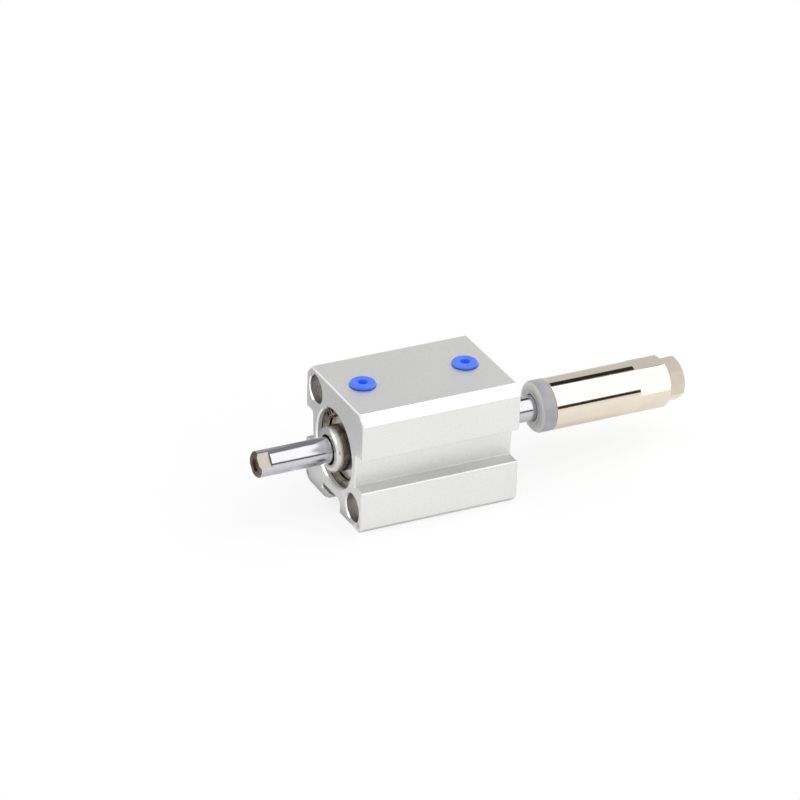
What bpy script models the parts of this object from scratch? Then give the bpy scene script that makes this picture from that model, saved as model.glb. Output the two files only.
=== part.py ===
# Compact pneumatic cylinder with a through rod and an adjustable stroke.
#
# Frame: the cylinder's axis runs along X, with the plain rod end towards -X and
# the stroke adjuster towards +X. Z is up and the ports are on top. The origin is
# under the middle of the whole cylinder, on the surface that it stands on.
# Every length is written in millimetres and turned into metres by MM.

import math

import bmesh
import bpy
from mathutils import Vector

MM = 0.001

# Clearances
SEAT_GAP = 0.3 * MM        # between a piece and the shoulder that it sits on
SIDE_GAP = 0.2 * MM        # around a piece that sits in a bore or a groove
RUNNING_GAP = 0.1 * MM     # around the rod and the piston, on the radius
STACK_GAP = 0.15 * MM      # between the bumper, the sleeve and the lock nut

# Stroke
STROKE = 20.0 * MM
EXTENSION = 13.6 * MM      # how far the rod stands out of its retracted place
ROD_END_RETRACTED = 5.5 * MM   # rod end past the front face when retracted

# Barrel section
BODY_WIDTH = 29.0 * MM
BODY_HEIGHT = 29.0 * MM
TOP_CHAMFER = 2.2 * MM
SHOULDER_HEIGHT = 18.2 * MM    # underside of the wide upper part
FOOT_HEIGHT = 10.4 * MM        # top of the two lower edges
RECESS_DEPTH = 3.3 * MM        # side channel between the two
RECESS_LEAN = 0.5 * MM
LUG_WIDTH = 10.9 * MM
LUG_CHAMFER = 1.3 * MM
LUG_FILLET = 0.9 * MM
FOOT_RADIUS = 3.0 * MM         # round corner under the sensor rail
SLOT_ROOF = 3.0 * MM           # roof of the sensor slot above the base
SLOT_HEIGHT = 1.1 * MM
SLOT_END = 5.6 * MM            # closed end of the slot, from the middle plane
LIP_TIP = 0.3 * MM             # tip of the rail's lip past the middle plane
LIP_OPENING = 0.5 * MM         # slot opening that the lip leaves at its tip
LIP_LENGTH = 4.6 * MM          # how far the lip curls, from flat base to tip
EDGE_FILLET = 0.4 * MM
EDGE_BREAK = 0.3 * MM

# Bore and mouths
BORE_DIAMETER = 16.0 * MM
MOUTH_STEP = 1.1 * MM          # mouth past the bore, on the radius
MOUTH_DEPTH = 5.5 * MM
MOUTH_CHAMFER = 0.5 * MM

# Snap rings
RING_SETBACK = 1.4 * MM
RING_THICKNESS = 1.0 * MM
RING_BITE = 0.5 * MM           # how far a ring stands into the barrel's wall
RING_WIDTH = 1.9 * MM
RING_EAR_CLEARANCE = 1.85 * MM  # between an ear and the cover's boss
RING_EAR_HOLE = 1.2 * MM
RING_EAR_WIDTH = 2.1 * MM
RING_GAP_ANGLE = math.radians(50)      # middle of the ring's gap, from +Y
RING_EAR_ANGLE = math.radians(9.5)      # each ear's hole from the gap's middle

# Covers
BOSS_WALL = 1.0 * MM           # around the rod seal
BOSS_HEIGHT = 1.5 * MM
BOSS_CHAMFER = 0.5 * MM
NOSE_WALL = 0.5 * MM           # around the stop pad
NOSE_LENGTH = 0.5 * MM
COVER_SEAL_SECTION = 1.0 * MM
LIP_WALL = 0.8 * MM            # web in front of the rod seal
LIP_GAP = 0.5 * MM             # around the rod where it passes the web
ROD_SEAL_WALL = 1.0 * MM
ROD_SEAL_LENGTH = 1.8 * MM
ROD_SEAL_NOTCH = 0.9 * MM
BUSH_WALL = 0.9 * MM
BUSH_LENGTH = 3.6 * MM

# Stop pads
PAD_DIAMETER = 12.2 * MM
PAD_WALL = 1.2 * MM
PAD_SEATED = 0.6 * MM
PAD_PROUD = 0.6 * MM

# Piston
PISTON_LENGTH = 4.7 * MM
PISTON_SEAL_WIDTH = 2.0 * MM
PISTON_SEAL_DEPTH = 1.9 * MM
PISTON_CHAMFER = 0.3 * MM

# Rods
ROD_DIAMETER = 6.0 * MM
ROD_CHAMFER = 0.4 * MM
SPIGOT_DIAMETER = 4.0 * MM     # front rod's spigot, through the piston
SPIGOT_GRIP = 5.0 * MM         # length of the spigot inside the rear rod
FLATS_DEPTH = 0.6 * MM
FLATS_LENGTH = 2.9 * MM
FLATS_ANGLE = math.radians(138)        # first flat's direction, from +Y
ROD_HOLE_DIAMETER = 2.5 * MM   # tapped M3
ROD_HOLE_DEPTH = 8.0 * MM
ROD_HOLE_COUNTERSINK = 0.35 * MM
DRILL_POINT = math.radians(59)         # half angle of a drilled hole's end

# Stroke adjuster on the rear rod
THREAD_CUT = 0.1 * MM          # M6 x 1, drawn as a step this deep
THREAD_RUN_OUT = 0.8 * MM
THREAD_PLAY = 0.15 * MM
ADJUSTER_SETBACK = 9.0 * MM    # from the rear boss to the bumper, as adjusted
BUMPER_THICKNESS = 3.5 * MM
BUMPER_CHAMFER = 0.9 * MM
BUMPER_NECK_WALL = 1.15 * MM
BUMPER_NECK_LENGTH = 2.4 * MM
BUMPER_BORE_CLEARANCE = 0.15 * MM
SLEEVE_DIAMETER = 12.0 * MM
SLEEVE_LENGTH = 29.3 * MM
SLEEVE_THREAD_LENGTH = 11.0 * MM
SLEEVE_BORE_CLEARANCE = 0.3 * MM
SLEEVE_CHAMFER = 0.4 * MM
SLEEVE_HEX_CUT = 0.5 * MM      # depth of each flat below the round
SLEEVE_HEX_LENGTH = 8.0 * MM
SLEEVE_HEX_ANGLE = math.radians(90)
NUT_ACROSS = 9.0 * MM
NUT_THICKNESS = 4.0 * MM
NUT_CORNER_CUT = 0.65 * MM     # how much each corner loses on the radius
NUT_ANGLE = math.radians(166.5)
ROD_PAST_NUT = 1.1 * MM

# Mounting holes and ports
HOLE_WALL = 0.95 * MM          # metal between a counterbore and a ring's groove
HOLE_DIAMETER = 4.2 * MM
COUNTERBORE_STEP = 1.15 * MM   # counterbore past the hole, on the radius
COUNTERBORE_DEPTH = 4.6 * MM
HOLE_CHAMFER = 0.3 * MM
PORT_SETBACK = 6.7 * MM
PORT_DIAMETER = 4.2 * MM       # tapped M5
PORT_SPOT_STEP = 1.0 * MM      # spot face past the port, on the radius
PORT_SPOT_DEPTH = 0.3 * MM
PLUG_HEAD_HEIGHT = 0.8 * MM
PLUG_HEAD_CHAMFER = 0.25 * MM
PLUG_STEM_LENGTH = 4.4 * MM
PLUG_DIMPLE_DIAMETER = 2.2 * MM
PLUG_DIMPLE_DEPTH = 1.6 * MM

# Roundness
ROUND_STEPS = 36
ROD_STEPS = 28
SMALL_STEPS = 20
SEAL_STEPS = 8
CORNER_STEPS = 2               # for a sharp corner, and one more for each mm of radius
CUT_MARGIN = 1.0 * MM          # how far a cutter runs past what it cuts
GUIDE_SIZE = 5.0 * MM          # drawn size of a guide empty

# Sizes that follow from the ones above
COVER_REACH = MOUTH_DEPTH + NOSE_LENGTH
BODY_LENGTH = STROKE + PISTON_LENGTH + 2 * (COVER_REACH + PAD_PROUD + SEAT_GAP)
AXIS_HEIGHT = BODY_HEIGHT / 2
BORE_RADIUS = BORE_DIAMETER / 2
MOUTH_RADIUS = BORE_RADIUS + MOUTH_STEP
RING_RADIUS = MOUTH_RADIUS + RING_BITE
GROOVE_RADIUS = RING_RADIUS + SIDE_GAP
ROD_RADIUS = ROD_DIAMETER / 2
THREAD_RADIUS = ROD_RADIUS - THREAD_CUT
FLATS_ACROSS = ROD_DIAMETER - 2 * FLATS_DEPTH
ROD_SEAL_RADIUS = ROD_RADIUS + RUNNING_GAP + ROD_SEAL_WALL
BUSH_RADIUS = ROD_RADIUS + RUNNING_GAP + BUSH_WALL
BOSS_RADIUS = ROD_SEAL_RADIUS + SIDE_GAP + BOSS_WALL
PAD_RADIUS = PAD_DIAMETER / 2
PAD_HOLE_RADIUS = PAD_RADIUS - PAD_WALL
NOSE_RADIUS = PAD_RADIUS + SIDE_GAP + NOSE_WALL
SLEEVE_RADIUS = SLEEVE_DIAMETER / 2
SLEEVE_HEX_ACROSS = SLEEVE_DIAMETER - 2 * SLEEVE_HEX_CUT
BUMPER_BORE_RADIUS = ROD_RADIUS + BUMPER_BORE_CLEARANCE
BUMPER_NECK_RADIUS = BUMPER_BORE_RADIUS + BUMPER_NECK_WALL
COUNTERBORE_RADIUS = HOLE_DIAMETER / 2 + COUNTERBORE_STEP
HOLE_OFFSET = (GROOVE_RADIUS + HOLE_WALL + COUNTERBORE_RADIUS) / math.sqrt(2)
PORT_SPOT_RADIUS = PORT_DIAMETER / 2 + PORT_SPOT_STEP
FLANGE_FRONT = RING_SETBACK + RING_THICKNESS + SEAT_GAP
FLANGE_BACK = MOUTH_DEPTH - SEAT_GAP
ROD_END_REACH = ROD_END_RETRACTED + EXTENSION
PISTON_FRONT = BODY_LENGTH - COVER_REACH - PAD_PROUD - SEAT_GAP - PISTON_LENGTH - EXTENSION
PISTON_BACK = PISTON_FRONT + PISTON_LENGTH
BUMPER_FRONT = BODY_LENGTH + BOSS_HEIGHT + ADJUSTER_SETBACK
SLEEVE_FRONT = BUMPER_FRONT + BUMPER_THICKNESS + STACK_GAP
SLEEVE_BACK = SLEEVE_FRONT + SLEEVE_LENGTH
NUT_FRONT = SLEEVE_BACK + STACK_GAP
REAR_REACH = NUT_FRONT + NUT_THICKNESS + ROD_PAST_NUT
FRONT_FACE_X = (ROD_END_REACH - REAR_REACH) / 2


def start_empty():
    """Clear the file and make the two collections."""
    for old in list(bpy.data.objects):
        bpy.data.objects.remove(old, do_unlink=True)
    collections = []
    for name in ("compact_cylinder", "cutters"):
        collection = bpy.data.collections.new(name)
        bpy.context.scene.collection.children.link(collection)
        collections.append(collection)
    return collections


PIECES, CUTTERS = start_empty()


def finish(name, colour, roughness, metallic):
    """A plain Principled material."""
    material = bpy.data.materials.new(name)
    material.use_nodes = True
    shader = material.node_tree.nodes["Principled BSDF"]
    shader.inputs["Base Color"].default_value = (*colour, 1.0)
    shader.inputs["Roughness"].default_value = roughness
    shader.inputs["Metallic"].default_value = metallic
    return material


def guide(name, location, parent=None, turn=0.0):
    """An empty that carries the pieces of one group."""
    empty = bpy.data.objects.new(name, None)
    empty.empty_display_size = GUIDE_SIZE
    empty.location = location
    empty.rotation_euler = (0, 0, turn)
    empty.parent = parent
    PIECES.objects.link(empty)
    return empty


def place(obj, parent, location, rotation, material):
    """Link an object as a piece, or as a cutter if it has no material."""
    obj.parent = parent
    obj.location = location
    obj.rotation_euler = rotation
    if material is None:
        obj.hide_render = True
        obj.display_type = "WIRE"
        CUTTERS.objects.link(obj)
    else:
        obj.data.materials.append(material)
        PIECES.objects.link(obj)
    return obj


def polar(radius, angle, centre=(0.0, 0.0)):
    return (centre[0] + radius * math.cos(angle), centre[1] + radius * math.sin(angle))


def arc(radius, start, end, steps, centre=(0.0, 0.0)):
    """Points along an arc, with both ends."""
    return [polar(radius, start + (end - start) * i / steps, centre) for i in range(steps + 1)]


def signed_area(points):
    """Twice the area inside a closed outline, positive when it runs anticlockwise."""
    return sum(a[0] * b[1] - b[0] * a[1] for a, b in zip(points, points[1:] + points[:1]))


def rounded(corners):
    """An outline from (y, z, radius) corners, each rounded with a short arc."""
    outline = []
    for index, (y, z, radius) in enumerate(corners):
        here = Vector((y, z))
        if radius == 0:
            outline.append((y, z))
            continue
        back = (Vector(corners[index - 1][:2]) - here).normalized()
        ahead = (Vector(corners[(index + 1) % len(corners)][:2]) - here).normalized()
        half = back.angle(ahead) / 2
        centre = here + (back + ahead).normalized() * (radius / math.sin(half))
        first = here + back * (radius / math.tan(half)) - centre
        last = here + ahead * (radius / math.tan(half)) - centre
        start = math.atan2(first.y, first.x)
        sweep = math.remainder(math.atan2(last.y, last.x) - start, math.tau)
        steps = CORNER_STEPS + round(radius / MM)
        outline += arc(radius, start, start + sweep, steps, centre)
    return outline


def turned(name, profile, material, parent, location=(0, 0, 0), steps=ROUND_STEPS, upright=False):
    """A piece turned from (along, radius) points, about X or, when upright, about Z.

    A profile whose two ends lie on the axis is solid; any other is closed into a ring.
    """
    points = [(radius, along) for along, radius in profile]
    if signed_area(points) > 0:
        points.reverse()
    solid = points[0][0] == 0 and points[-1][0] == 0
    edges = [(i, i + 1) for i in range(len(points) - 1)]
    if not solid:
        edges.append((len(points) - 1, 0))
    mesh = bpy.data.meshes.new(name)
    mesh.from_pydata([(radius, 0, along) for radius, along in points], edges, [])
    obj = bpy.data.objects.new(name, mesh)
    screw = obj.modifiers.new("turn", "SCREW")
    screw.angle = math.tau
    screw.steps = steps
    screw.render_steps = steps
    screw.use_merge_vertices = True
    screw.merge_threshold = 1e-6
    tilt = 0.0 if upright else math.pi / 2
    return place(obj, parent, location, (0, tilt, 0), material)


def extruded(name, outlines, start, end, chamfer, material, parent):
    """A (y, z) outline, with holes if it has more than one, extruded along X."""
    curve = bpy.data.curves.new(name, "CURVE")
    curve.dimensions = "2D"
    curve.fill_mode = "BOTH"
    curve.extrude = (end - start) / 2 - chamfer
    curve.bevel_depth = chamfer
    curve.bevel_resolution = 0
    curve.offset = -chamfer
    for outline in outlines:
        spline = curve.splines.new("POLY")
        spline.points.add(len(outline) - 1)
        for point, (y, z) in zip(spline.points, outline):
            point.co = (y, z, 0, 1)
        spline.use_cyclic_u = True
    drawn = bpy.data.objects.new(name + "_outline", curve)
    CUTTERS.objects.link(drawn)
    graph = bpy.context.evaluated_depsgraph_get()
    mesh = bpy.data.meshes.new_from_object(drawn.evaluated_get(graph))
    bpy.data.objects.remove(drawn)
    bpy.data.curves.remove(curve)
    work = bmesh.new()
    work.from_mesh(mesh)
    bmesh.ops.remove_doubles(work, verts=work.verts, dist=1e-6)
    bmesh.ops.recalc_face_normals(work, faces=work.faces)
    work.to_mesh(mesh)
    work.free()
    mesh.materials.clear()
    obj = bpy.data.objects.new(name, mesh)
    middle = ((start + end) / 2, 0, 0)
    return place(obj, parent, middle, (math.pi / 2, 0, math.pi / 2), material)


def box_cutter(name, size, parent, location, turn_x):
    """A box, turned about X."""
    mesh = bpy.data.meshes.new(name)
    work = bmesh.new()
    bmesh.ops.create_cube(work, size=1.0)
    bmesh.ops.scale(work, vec=size, verts=work.verts)
    work.to_mesh(mesh)
    work.free()
    return place(bpy.data.objects.new(name, mesh), parent, location, (turn_x, 0, 0), None)


def cut(piece, cutter):
    boolean = piece.modifiers.new(cutter.name, "BOOLEAN")
    boolean.operation = "DIFFERENCE"
    boolean.solver = "EXACT"
    boolean.object = cutter


def mill_flats(piece, across, start, end, count, first_angle, parent):
    """Mill flats round the X axis between two places, the first facing first_angle from +Y."""
    depth = across / 2
    for index in range(count):
        angle = first_angle + math.tau * index / count
        y, z = polar(across / 2 + depth / 2, angle)
        size = (end - start, depth, 2 * across)
        name = f"{piece.name}_flat_{index + 1}"
        cut(piece, box_cutter(name, size, parent, ((start + end) / 2, y, z), angle))


def barrel_outline():
    """The extrusion's section, anticlockwise from the near lug, about the axis."""
    half = BODY_WIDTH / 2
    lug_inner = LUG_WIDTH - half
    slot_floor = SLOT_ROOF - SLOT_HEIGHT
    lip_point = SLOT_ROOF - LIP_OPENING
    foot_flat = LIP_LENGTH - LIP_TIP
    lip_bend = (foot_flat - LIP_TIP) / 2
    recess_top = half - RECESS_DEPTH
    recess_foot = recess_top - RECESS_LEAN
    corners = [
        (LUG_CHAMFER - half, 0, 0),
        (lug_inner, 0, EDGE_FILLET),
        (lug_inner, SLOT_ROOF, LUG_FILLET),
        (SLOT_END, SLOT_ROOF, EDGE_FILLET),
        (SLOT_END, slot_floor, EDGE_FILLET),
        (lip_bend, slot_floor, 0),
        (-LIP_TIP, lip_point, 0),
        (lip_bend, slot_floor / 2, LIP_OPENING),
        (foot_flat, 0, LIP_OPENING),
        (half, 0, FOOT_RADIUS),
        (half, FOOT_HEIGHT, EDGE_FILLET),
        (recess_foot, FOOT_HEIGHT, EDGE_FILLET),
        (recess_top, SHOULDER_HEIGHT, EDGE_FILLET),
        (half, SHOULDER_HEIGHT, EDGE_FILLET),
        (half, BODY_HEIGHT - TOP_CHAMFER, 0),
        (half - TOP_CHAMFER, BODY_HEIGHT, 0),
        (TOP_CHAMFER - half, BODY_HEIGHT, 0),
        (-half, BODY_HEIGHT - TOP_CHAMFER, 0),
        (-half, SHOULDER_HEIGHT, EDGE_FILLET),
        (-recess_top, SHOULDER_HEIGHT, EDGE_FILLET),
        (-recess_foot, FOOT_HEIGHT, EDGE_FILLET),
        (-half, FOOT_HEIGHT, EDGE_FILLET),
        (-half, LUG_CHAMFER, 0),
    ]
    return [(y, z - AXIS_HEIGHT) for y, z in rounded(corners)]


def bore_profile():
    """One mouth of the bore cutter, from outside the end face to the shoulder."""
    ring_back = RING_SETBACK + RING_THICKNESS
    return [
        (-CUT_MARGIN, MOUTH_RADIUS + MOUTH_CHAMFER + CUT_MARGIN),
        (MOUTH_CHAMFER, MOUTH_RADIUS),
        (RING_SETBACK - RUNNING_GAP, MOUTH_RADIUS),
        (RING_SETBACK - RUNNING_GAP, GROOVE_RADIUS),
        (ring_back + RUNNING_GAP, GROOVE_RADIUS),
        (ring_back + RUNNING_GAP, MOUTH_RADIUS),
        (MOUTH_DEPTH, MOUTH_RADIUS),
        (MOUTH_DEPTH, BORE_RADIUS),
    ]


def hole_profile():
    """One half of a mounting hole's cutter, from outside the end face inwards."""
    return [
        (-CUT_MARGIN, COUNTERBORE_RADIUS + HOLE_CHAMFER + CUT_MARGIN),
        (HOLE_CHAMFER, COUNTERBORE_RADIUS),
        (COUNTERBORE_DEPTH, COUNTERBORE_RADIUS),
        (COUNTERBORE_DEPTH, HOLE_DIAMETER / 2),
    ]


def both_ends(profile):
    """A cutter's profile for the front end, and the same mirrored for the rear."""
    rear = [(BODY_LENGTH - along, radius) for along, radius in reversed(profile)]
    front_axis = (profile[0][0], 0)
    rear_axis = (BODY_LENGTH - profile[0][0], 0)
    return [front_axis] + profile + rear + [rear_axis]


def make_barrel(material, frame):
    barrel = extruded("barrel", [barrel_outline()], 0, BODY_LENGTH, EDGE_BREAK, material, frame)
    cut(barrel, turned("bore_cutter", both_ends(bore_profile()), None, frame))
    for side, name in ((1, "far_top_hole_cutter"), (-1, "near_foot_hole_cutter")):
        place_yz = (0, side * HOLE_OFFSET, side * HOLE_OFFSET)
        hole = turned(name, both_ends(hole_profile()), None, frame, place_yz, SMALL_STEPS)
        cut(barrel, hole)
    top = BODY_HEIGHT / 2
    port = [
        (BORE_RADIUS - CUT_MARGIN, 0),
        (BORE_RADIUS - CUT_MARGIN, PORT_DIAMETER / 2),
        (top - PORT_SPOT_DEPTH, PORT_DIAMETER / 2),
        (top - PORT_SPOT_DEPTH, PORT_SPOT_RADIUS),
        (top + CUT_MARGIN, PORT_SPOT_RADIUS),
        (top + CUT_MARGIN, 0),
    ]
    for name, along in (("front", PORT_SETBACK), ("rear", BODY_LENGTH - PORT_SETBACK)):
        cutter = turned(name + "_port_cutter", port, None, frame, (along, 0, 0), SMALL_STEPS, True)
        cut(barrel, cutter)


def make_cover(side, material, end):
    """A cover, seen from its own end face: the boss stands out of the mouth."""
    flange = MOUTH_RADIUS - SIDE_GAP
    groove_bottom = flange - COVER_SEAL_SECTION - SIDE_GAP
    middle = (FLANGE_FRONT + FLANGE_BACK) / 2
    groove_half = COVER_SEAL_SECTION / 2 + SIDE_GAP
    lip = ROD_RADIUS + LIP_GAP
    seal_front = LIP_WALL - BOSS_HEIGHT
    seal_back = seal_front + ROD_SEAL_LENGTH + 2 * SIDE_GAP
    seal_seat = ROD_SEAL_RADIUS + SIDE_GAP
    bush_seat = BUSH_RADIUS + RUNNING_GAP
    pad_inner = PAD_HOLE_RADIUS - SIDE_GAP
    pad_outer = PAD_RADIUS + SIDE_GAP
    pad_floor = COVER_REACH - PAD_SEATED - SIDE_GAP
    bush_front = COVER_REACH - BUSH_LENGTH - SIDE_GAP
    profile = [
        (-BOSS_HEIGHT, lip),
        (-BOSS_HEIGHT, BOSS_RADIUS - BOSS_CHAMFER),
        (BOSS_CHAMFER - BOSS_HEIGHT, BOSS_RADIUS),
        (FLANGE_FRONT, BOSS_RADIUS),
        (FLANGE_FRONT, flange),
        (middle - groove_half, flange),
        (middle - groove_half, groove_bottom),
        (middle + groove_half, groove_bottom),
        (middle + groove_half, flange),
        (FLANGE_BACK, flange),
        (FLANGE_BACK, NOSE_RADIUS),
        (COVER_REACH, NOSE_RADIUS),
        (COVER_REACH, pad_outer),
        (pad_floor, pad_outer),
        (pad_floor, pad_inner),
        (COVER_REACH, pad_inner),
        (COVER_REACH, bush_seat),
        (bush_front, bush_seat),
        (bush_front, lip),
        (seal_back, lip),
        (seal_back, seal_seat),
        (seal_front, seal_seat),
        (seal_front, lip),
    ]
    turned(side + "_cover", profile, material, end)


def make_cover_seal(side, material, end):
    """The ring that seals a cover's rim to the barrel."""
    section = COVER_SEAL_SECTION / 2
    centre = ((FLANGE_FRONT + FLANGE_BACK) / 2, MOUTH_RADIUS - SIDE_GAP - section - RUNNING_GAP)
    profile = arc(section, 0, math.tau, SEAL_STEPS, centre)[:-1]
    turned(side + "_cover_seal", profile, material, end, steps=ROD_STEPS)


def make_rod_seal(side, material, end):
    """A lip seal with its notch towards the pressure."""
    front = LIP_WALL - BOSS_HEIGHT + SIDE_GAP
    back = front + ROD_SEAL_LENGTH
    outer = ROD_SEAL_RADIUS
    inner = outer - ROD_SEAL_WALL
    middle = (outer + inner) / 2
    lip = ROD_SEAL_WALL / 4
    profile = [
        (front, inner),
        (front, outer),
        (back, outer),
        (back, outer - lip),
        (back - ROD_SEAL_NOTCH, middle),
        (back, inner + lip),
        (back, inner),
    ]
    turned(side + "_rod_seal", profile, material, end, steps=ROD_STEPS)


def make_bush(side, material, end):
    """The plain bearing bush that carries the rod."""
    back = COVER_REACH
    front = back - BUSH_LENGTH
    inner = BUSH_RADIUS - BUSH_WALL
    profile = [(front, inner), (front, BUSH_RADIUS), (back, BUSH_RADIUS), (back, inner)]
    turned(side + "_bush", profile, material, end, steps=ROD_STEPS)


def make_snap_ring(side, material, end):
    """An internal circlip: an open ring whose two ears carry plier holes."""
    inner = RING_RADIUS - RING_WIDTH
    ear_centre = BOSS_RADIUS + RING_EAR_CLEARANCE + RING_EAR_WIDTH / 2
    spread = RING_EAR_WIDTH / 2 / ear_centre
    gap_side = RING_EAR_ANGLE - spread
    ear_end = RING_EAR_ANGLE + math.asin(RING_EAR_WIDTH / 2 / inner)
    ear_round = math.radians(60)

    def ear(sign):
        """The round end of one ear, from its gap side to its ring side."""
        direction = sign * RING_EAR_ANGLE
        centre = polar(ear_centre, direction)
        start = direction + math.pi + sign * ear_round
        end_angle = direction + math.pi - sign * ear_round
        return arc(RING_EAR_WIDTH / 2, start, end_angle, SEAL_STEPS, centre)

    outline = arc(RING_RADIUS, gap_side, math.tau - gap_side, ROUND_STEPS)
    outline += ear(-1)
    outline += arc(inner, math.tau - ear_end, ear_end, ROD_STEPS)
    outline += list(reversed(ear(1)))
    cos_turn, sin_turn = polar(1.0, RING_GAP_ANGLE)
    outline = [(y * cos_turn - z * sin_turn, y * sin_turn + z * cos_turn) for y, z in outline]
    holes = []
    for sign in (1, -1):
        centre = polar(ear_centre, RING_GAP_ANGLE + sign * RING_EAR_ANGLE)
        holes.append(arc(RING_EAR_HOLE / 2, 0, math.tau, 2 * SEAL_STEPS, centre)[:-1])
    back = RING_SETBACK + RING_THICKNESS
    extruded(side + "_snap_ring", [outline] + holes, RING_SETBACK, back, 0, material, end)


def make_stop_pad(side, material, end):
    """The soft ring that the piston meets at the end of its stroke."""
    seated = COVER_REACH - PAD_SEATED
    proud = COVER_REACH + PAD_PROUD
    profile = [
        (seated, PAD_HOLE_RADIUS),
        (seated, PAD_RADIUS),
        (proud, PAD_RADIUS),
        (proud, PAD_HOLE_RADIUS),
    ]
    turned(side + "_stop_pad", profile, material, end, steps=ROD_STEPS)


def make_piston(material, frame):
    outer = BORE_RADIUS - SIDE_GAP
    groove = outer - PISTON_SEAL_DEPTH
    hole = SPIGOT_DIAMETER / 2 + THREAD_PLAY
    half_groove = PISTON_SEAL_WIDTH / 2 + RUNNING_GAP
    middle = PISTON_LENGTH / 2
    profile = [
        (0, hole),
        (0, outer - PISTON_CHAMFER),
        (PISTON_CHAMFER, outer),
        (middle - half_groove, outer),
        (middle - half_groove, groove),
        (middle + half_groove, groove),
        (middle + half_groove, outer),
        (PISTON_LENGTH - PISTON_CHAMFER, outer),
        (PISTON_LENGTH, outer - PISTON_CHAMFER),
        (PISTON_LENGTH, hole),
    ]
    turned("piston", profile, material, frame, (PISTON_FRONT, 0, 0))


def make_piston_seal(material, frame):
    """The seal round the piston, with a lip at each edge."""
    outer = BORE_RADIUS - RUNNING_GAP
    inner = BORE_RADIUS - SIDE_GAP - PISTON_SEAL_DEPTH + RUNNING_GAP
    half = PISTON_SEAL_WIDTH / 2
    waist = outer - PISTON_CHAMFER
    profile = [(-half, inner), (-half, outer), (0, waist), (half, outer), (half, inner)]
    middle = (PISTON_FRONT + PISTON_LENGTH / 2, 0, 0)
    turned("piston_seal", profile, material, frame, middle)


def make_front_rod(material, frame):
    """The plain rod: tapped end, spanner flats, and a spigot through the piston."""
    tip = -ROD_END_REACH
    shoulder = PISTON_FRONT - SEAT_GAP
    spigot_end = PISTON_BACK + SPIGOT_GRIP
    hole = ROD_HOLE_DIAMETER / 2
    hole_end = tip + ROD_HOLE_DEPTH
    profile = [
        (hole_end + hole / math.tan(DRILL_POINT), 0),
        (hole_end, hole),
        (tip + ROD_HOLE_COUNTERSINK, hole),
        (tip, hole + ROD_HOLE_COUNTERSINK),
        (tip, ROD_RADIUS - ROD_CHAMFER),
        (tip + ROD_CHAMFER, ROD_RADIUS),
        (shoulder, ROD_RADIUS),
        (shoulder, SPIGOT_DIAMETER / 2),
        (spigot_end, SPIGOT_DIAMETER / 2),
        (spigot_end, 0),
    ]
    rod = turned("front_rod", profile, material, frame, steps=ROD_STEPS)
    start = tip - CUT_MARGIN
    mill_flats(rod, FLATS_ACROSS, start, tip + FLATS_LENGTH, 2, FLATS_ANGLE, frame)


def make_rear_rod(material, frame):
    """The rear rod: a socket for the spigot, and the adjuster's thread at its end."""
    front = PISTON_BACK + SEAT_GAP
    socket = SPIGOT_DIAMETER / 2 + THREAD_PLAY
    socket_end = PISTON_BACK + SPIGOT_GRIP + SEAT_GAP
    thread_start = SLEEVE_BACK - SLEEVE_THREAD_LENGTH - ADJUSTER_SETBACK - THREAD_RUN_OUT
    back = REAR_REACH
    relief = THREAD_RADIUS - ROD_CHAMFER
    profile = [
        (socket_end + socket / math.tan(DRILL_POINT), 0),
        (socket_end, socket),
        (front, socket),
        (front, ROD_RADIUS),
        (thread_start - THREAD_RUN_OUT, ROD_RADIUS),
        (thread_start - THREAD_RUN_OUT, relief),
        (thread_start, relief),
        (thread_start, THREAD_RADIUS),
        (back - ROD_CHAMFER, THREAD_RADIUS),
        (back, THREAD_RADIUS - ROD_CHAMFER),
        (back, 0),
    ]
    turned("rear_rod", profile, material, frame, steps=ROD_STEPS)


def make_bumper(material, frame):
    """The soft bumper, held by its neck in the adjuster sleeve."""
    neck_end = BUMPER_THICKNESS + BUMPER_NECK_LENGTH
    profile = [
        (0, BUMPER_BORE_RADIUS),
        (0, SLEEVE_RADIUS - BUMPER_CHAMFER),
        (BUMPER_CHAMFER, SLEEVE_RADIUS),
        (BUMPER_THICKNESS, SLEEVE_RADIUS),
        (BUMPER_THICKNESS, BUMPER_NECK_RADIUS),
        (neck_end, BUMPER_NECK_RADIUS),
        (neck_end, BUMPER_BORE_RADIUS),
    ]
    turned("adjuster_bumper", profile, material, frame, (BUMPER_FRONT, 0, 0))


def make_sleeve(material, frame):
    """The adjuster sleeve: round in front, hexagonal and threaded at the rear."""
    outer = SLEEVE_RADIUS
    seat = BUMPER_NECK_RADIUS + RUNNING_GAP
    seat_depth = BUMPER_NECK_LENGTH + SEAT_GAP
    bore = ROD_RADIUS + SLEEVE_BORE_CLEARANCE
    thread = THREAD_RADIUS + THREAD_PLAY
    thread_start = SLEEVE_LENGTH - SLEEVE_THREAD_LENGTH
    profile = [
        (0, seat),
        (0, outer - SLEEVE_CHAMFER / 2),
        (SLEEVE_CHAMFER / 2, outer),
        (SLEEVE_LENGTH - SLEEVE_CHAMFER, outer),
        (SLEEVE_LENGTH, outer - SLEEVE_CHAMFER),
        (SLEEVE_LENGTH, thread + SLEEVE_CHAMFER),
        (SLEEVE_LENGTH - SLEEVE_CHAMFER, thread),
        (thread_start, thread),
        (thread_start, bore),
        (seat_depth, bore),
        (seat_depth, seat),
    ]
    sleeve = turned("adjuster_sleeve", profile, material, frame, (SLEEVE_FRONT, 0, 0))
    hex_start = SLEEVE_BACK - SLEEVE_HEX_LENGTH
    hex_end = SLEEVE_BACK + CUT_MARGIN
    mill_flats(sleeve, SLEEVE_HEX_ACROSS, hex_start, hex_end, 6, SLEEVE_HEX_ANGLE, frame)


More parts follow.
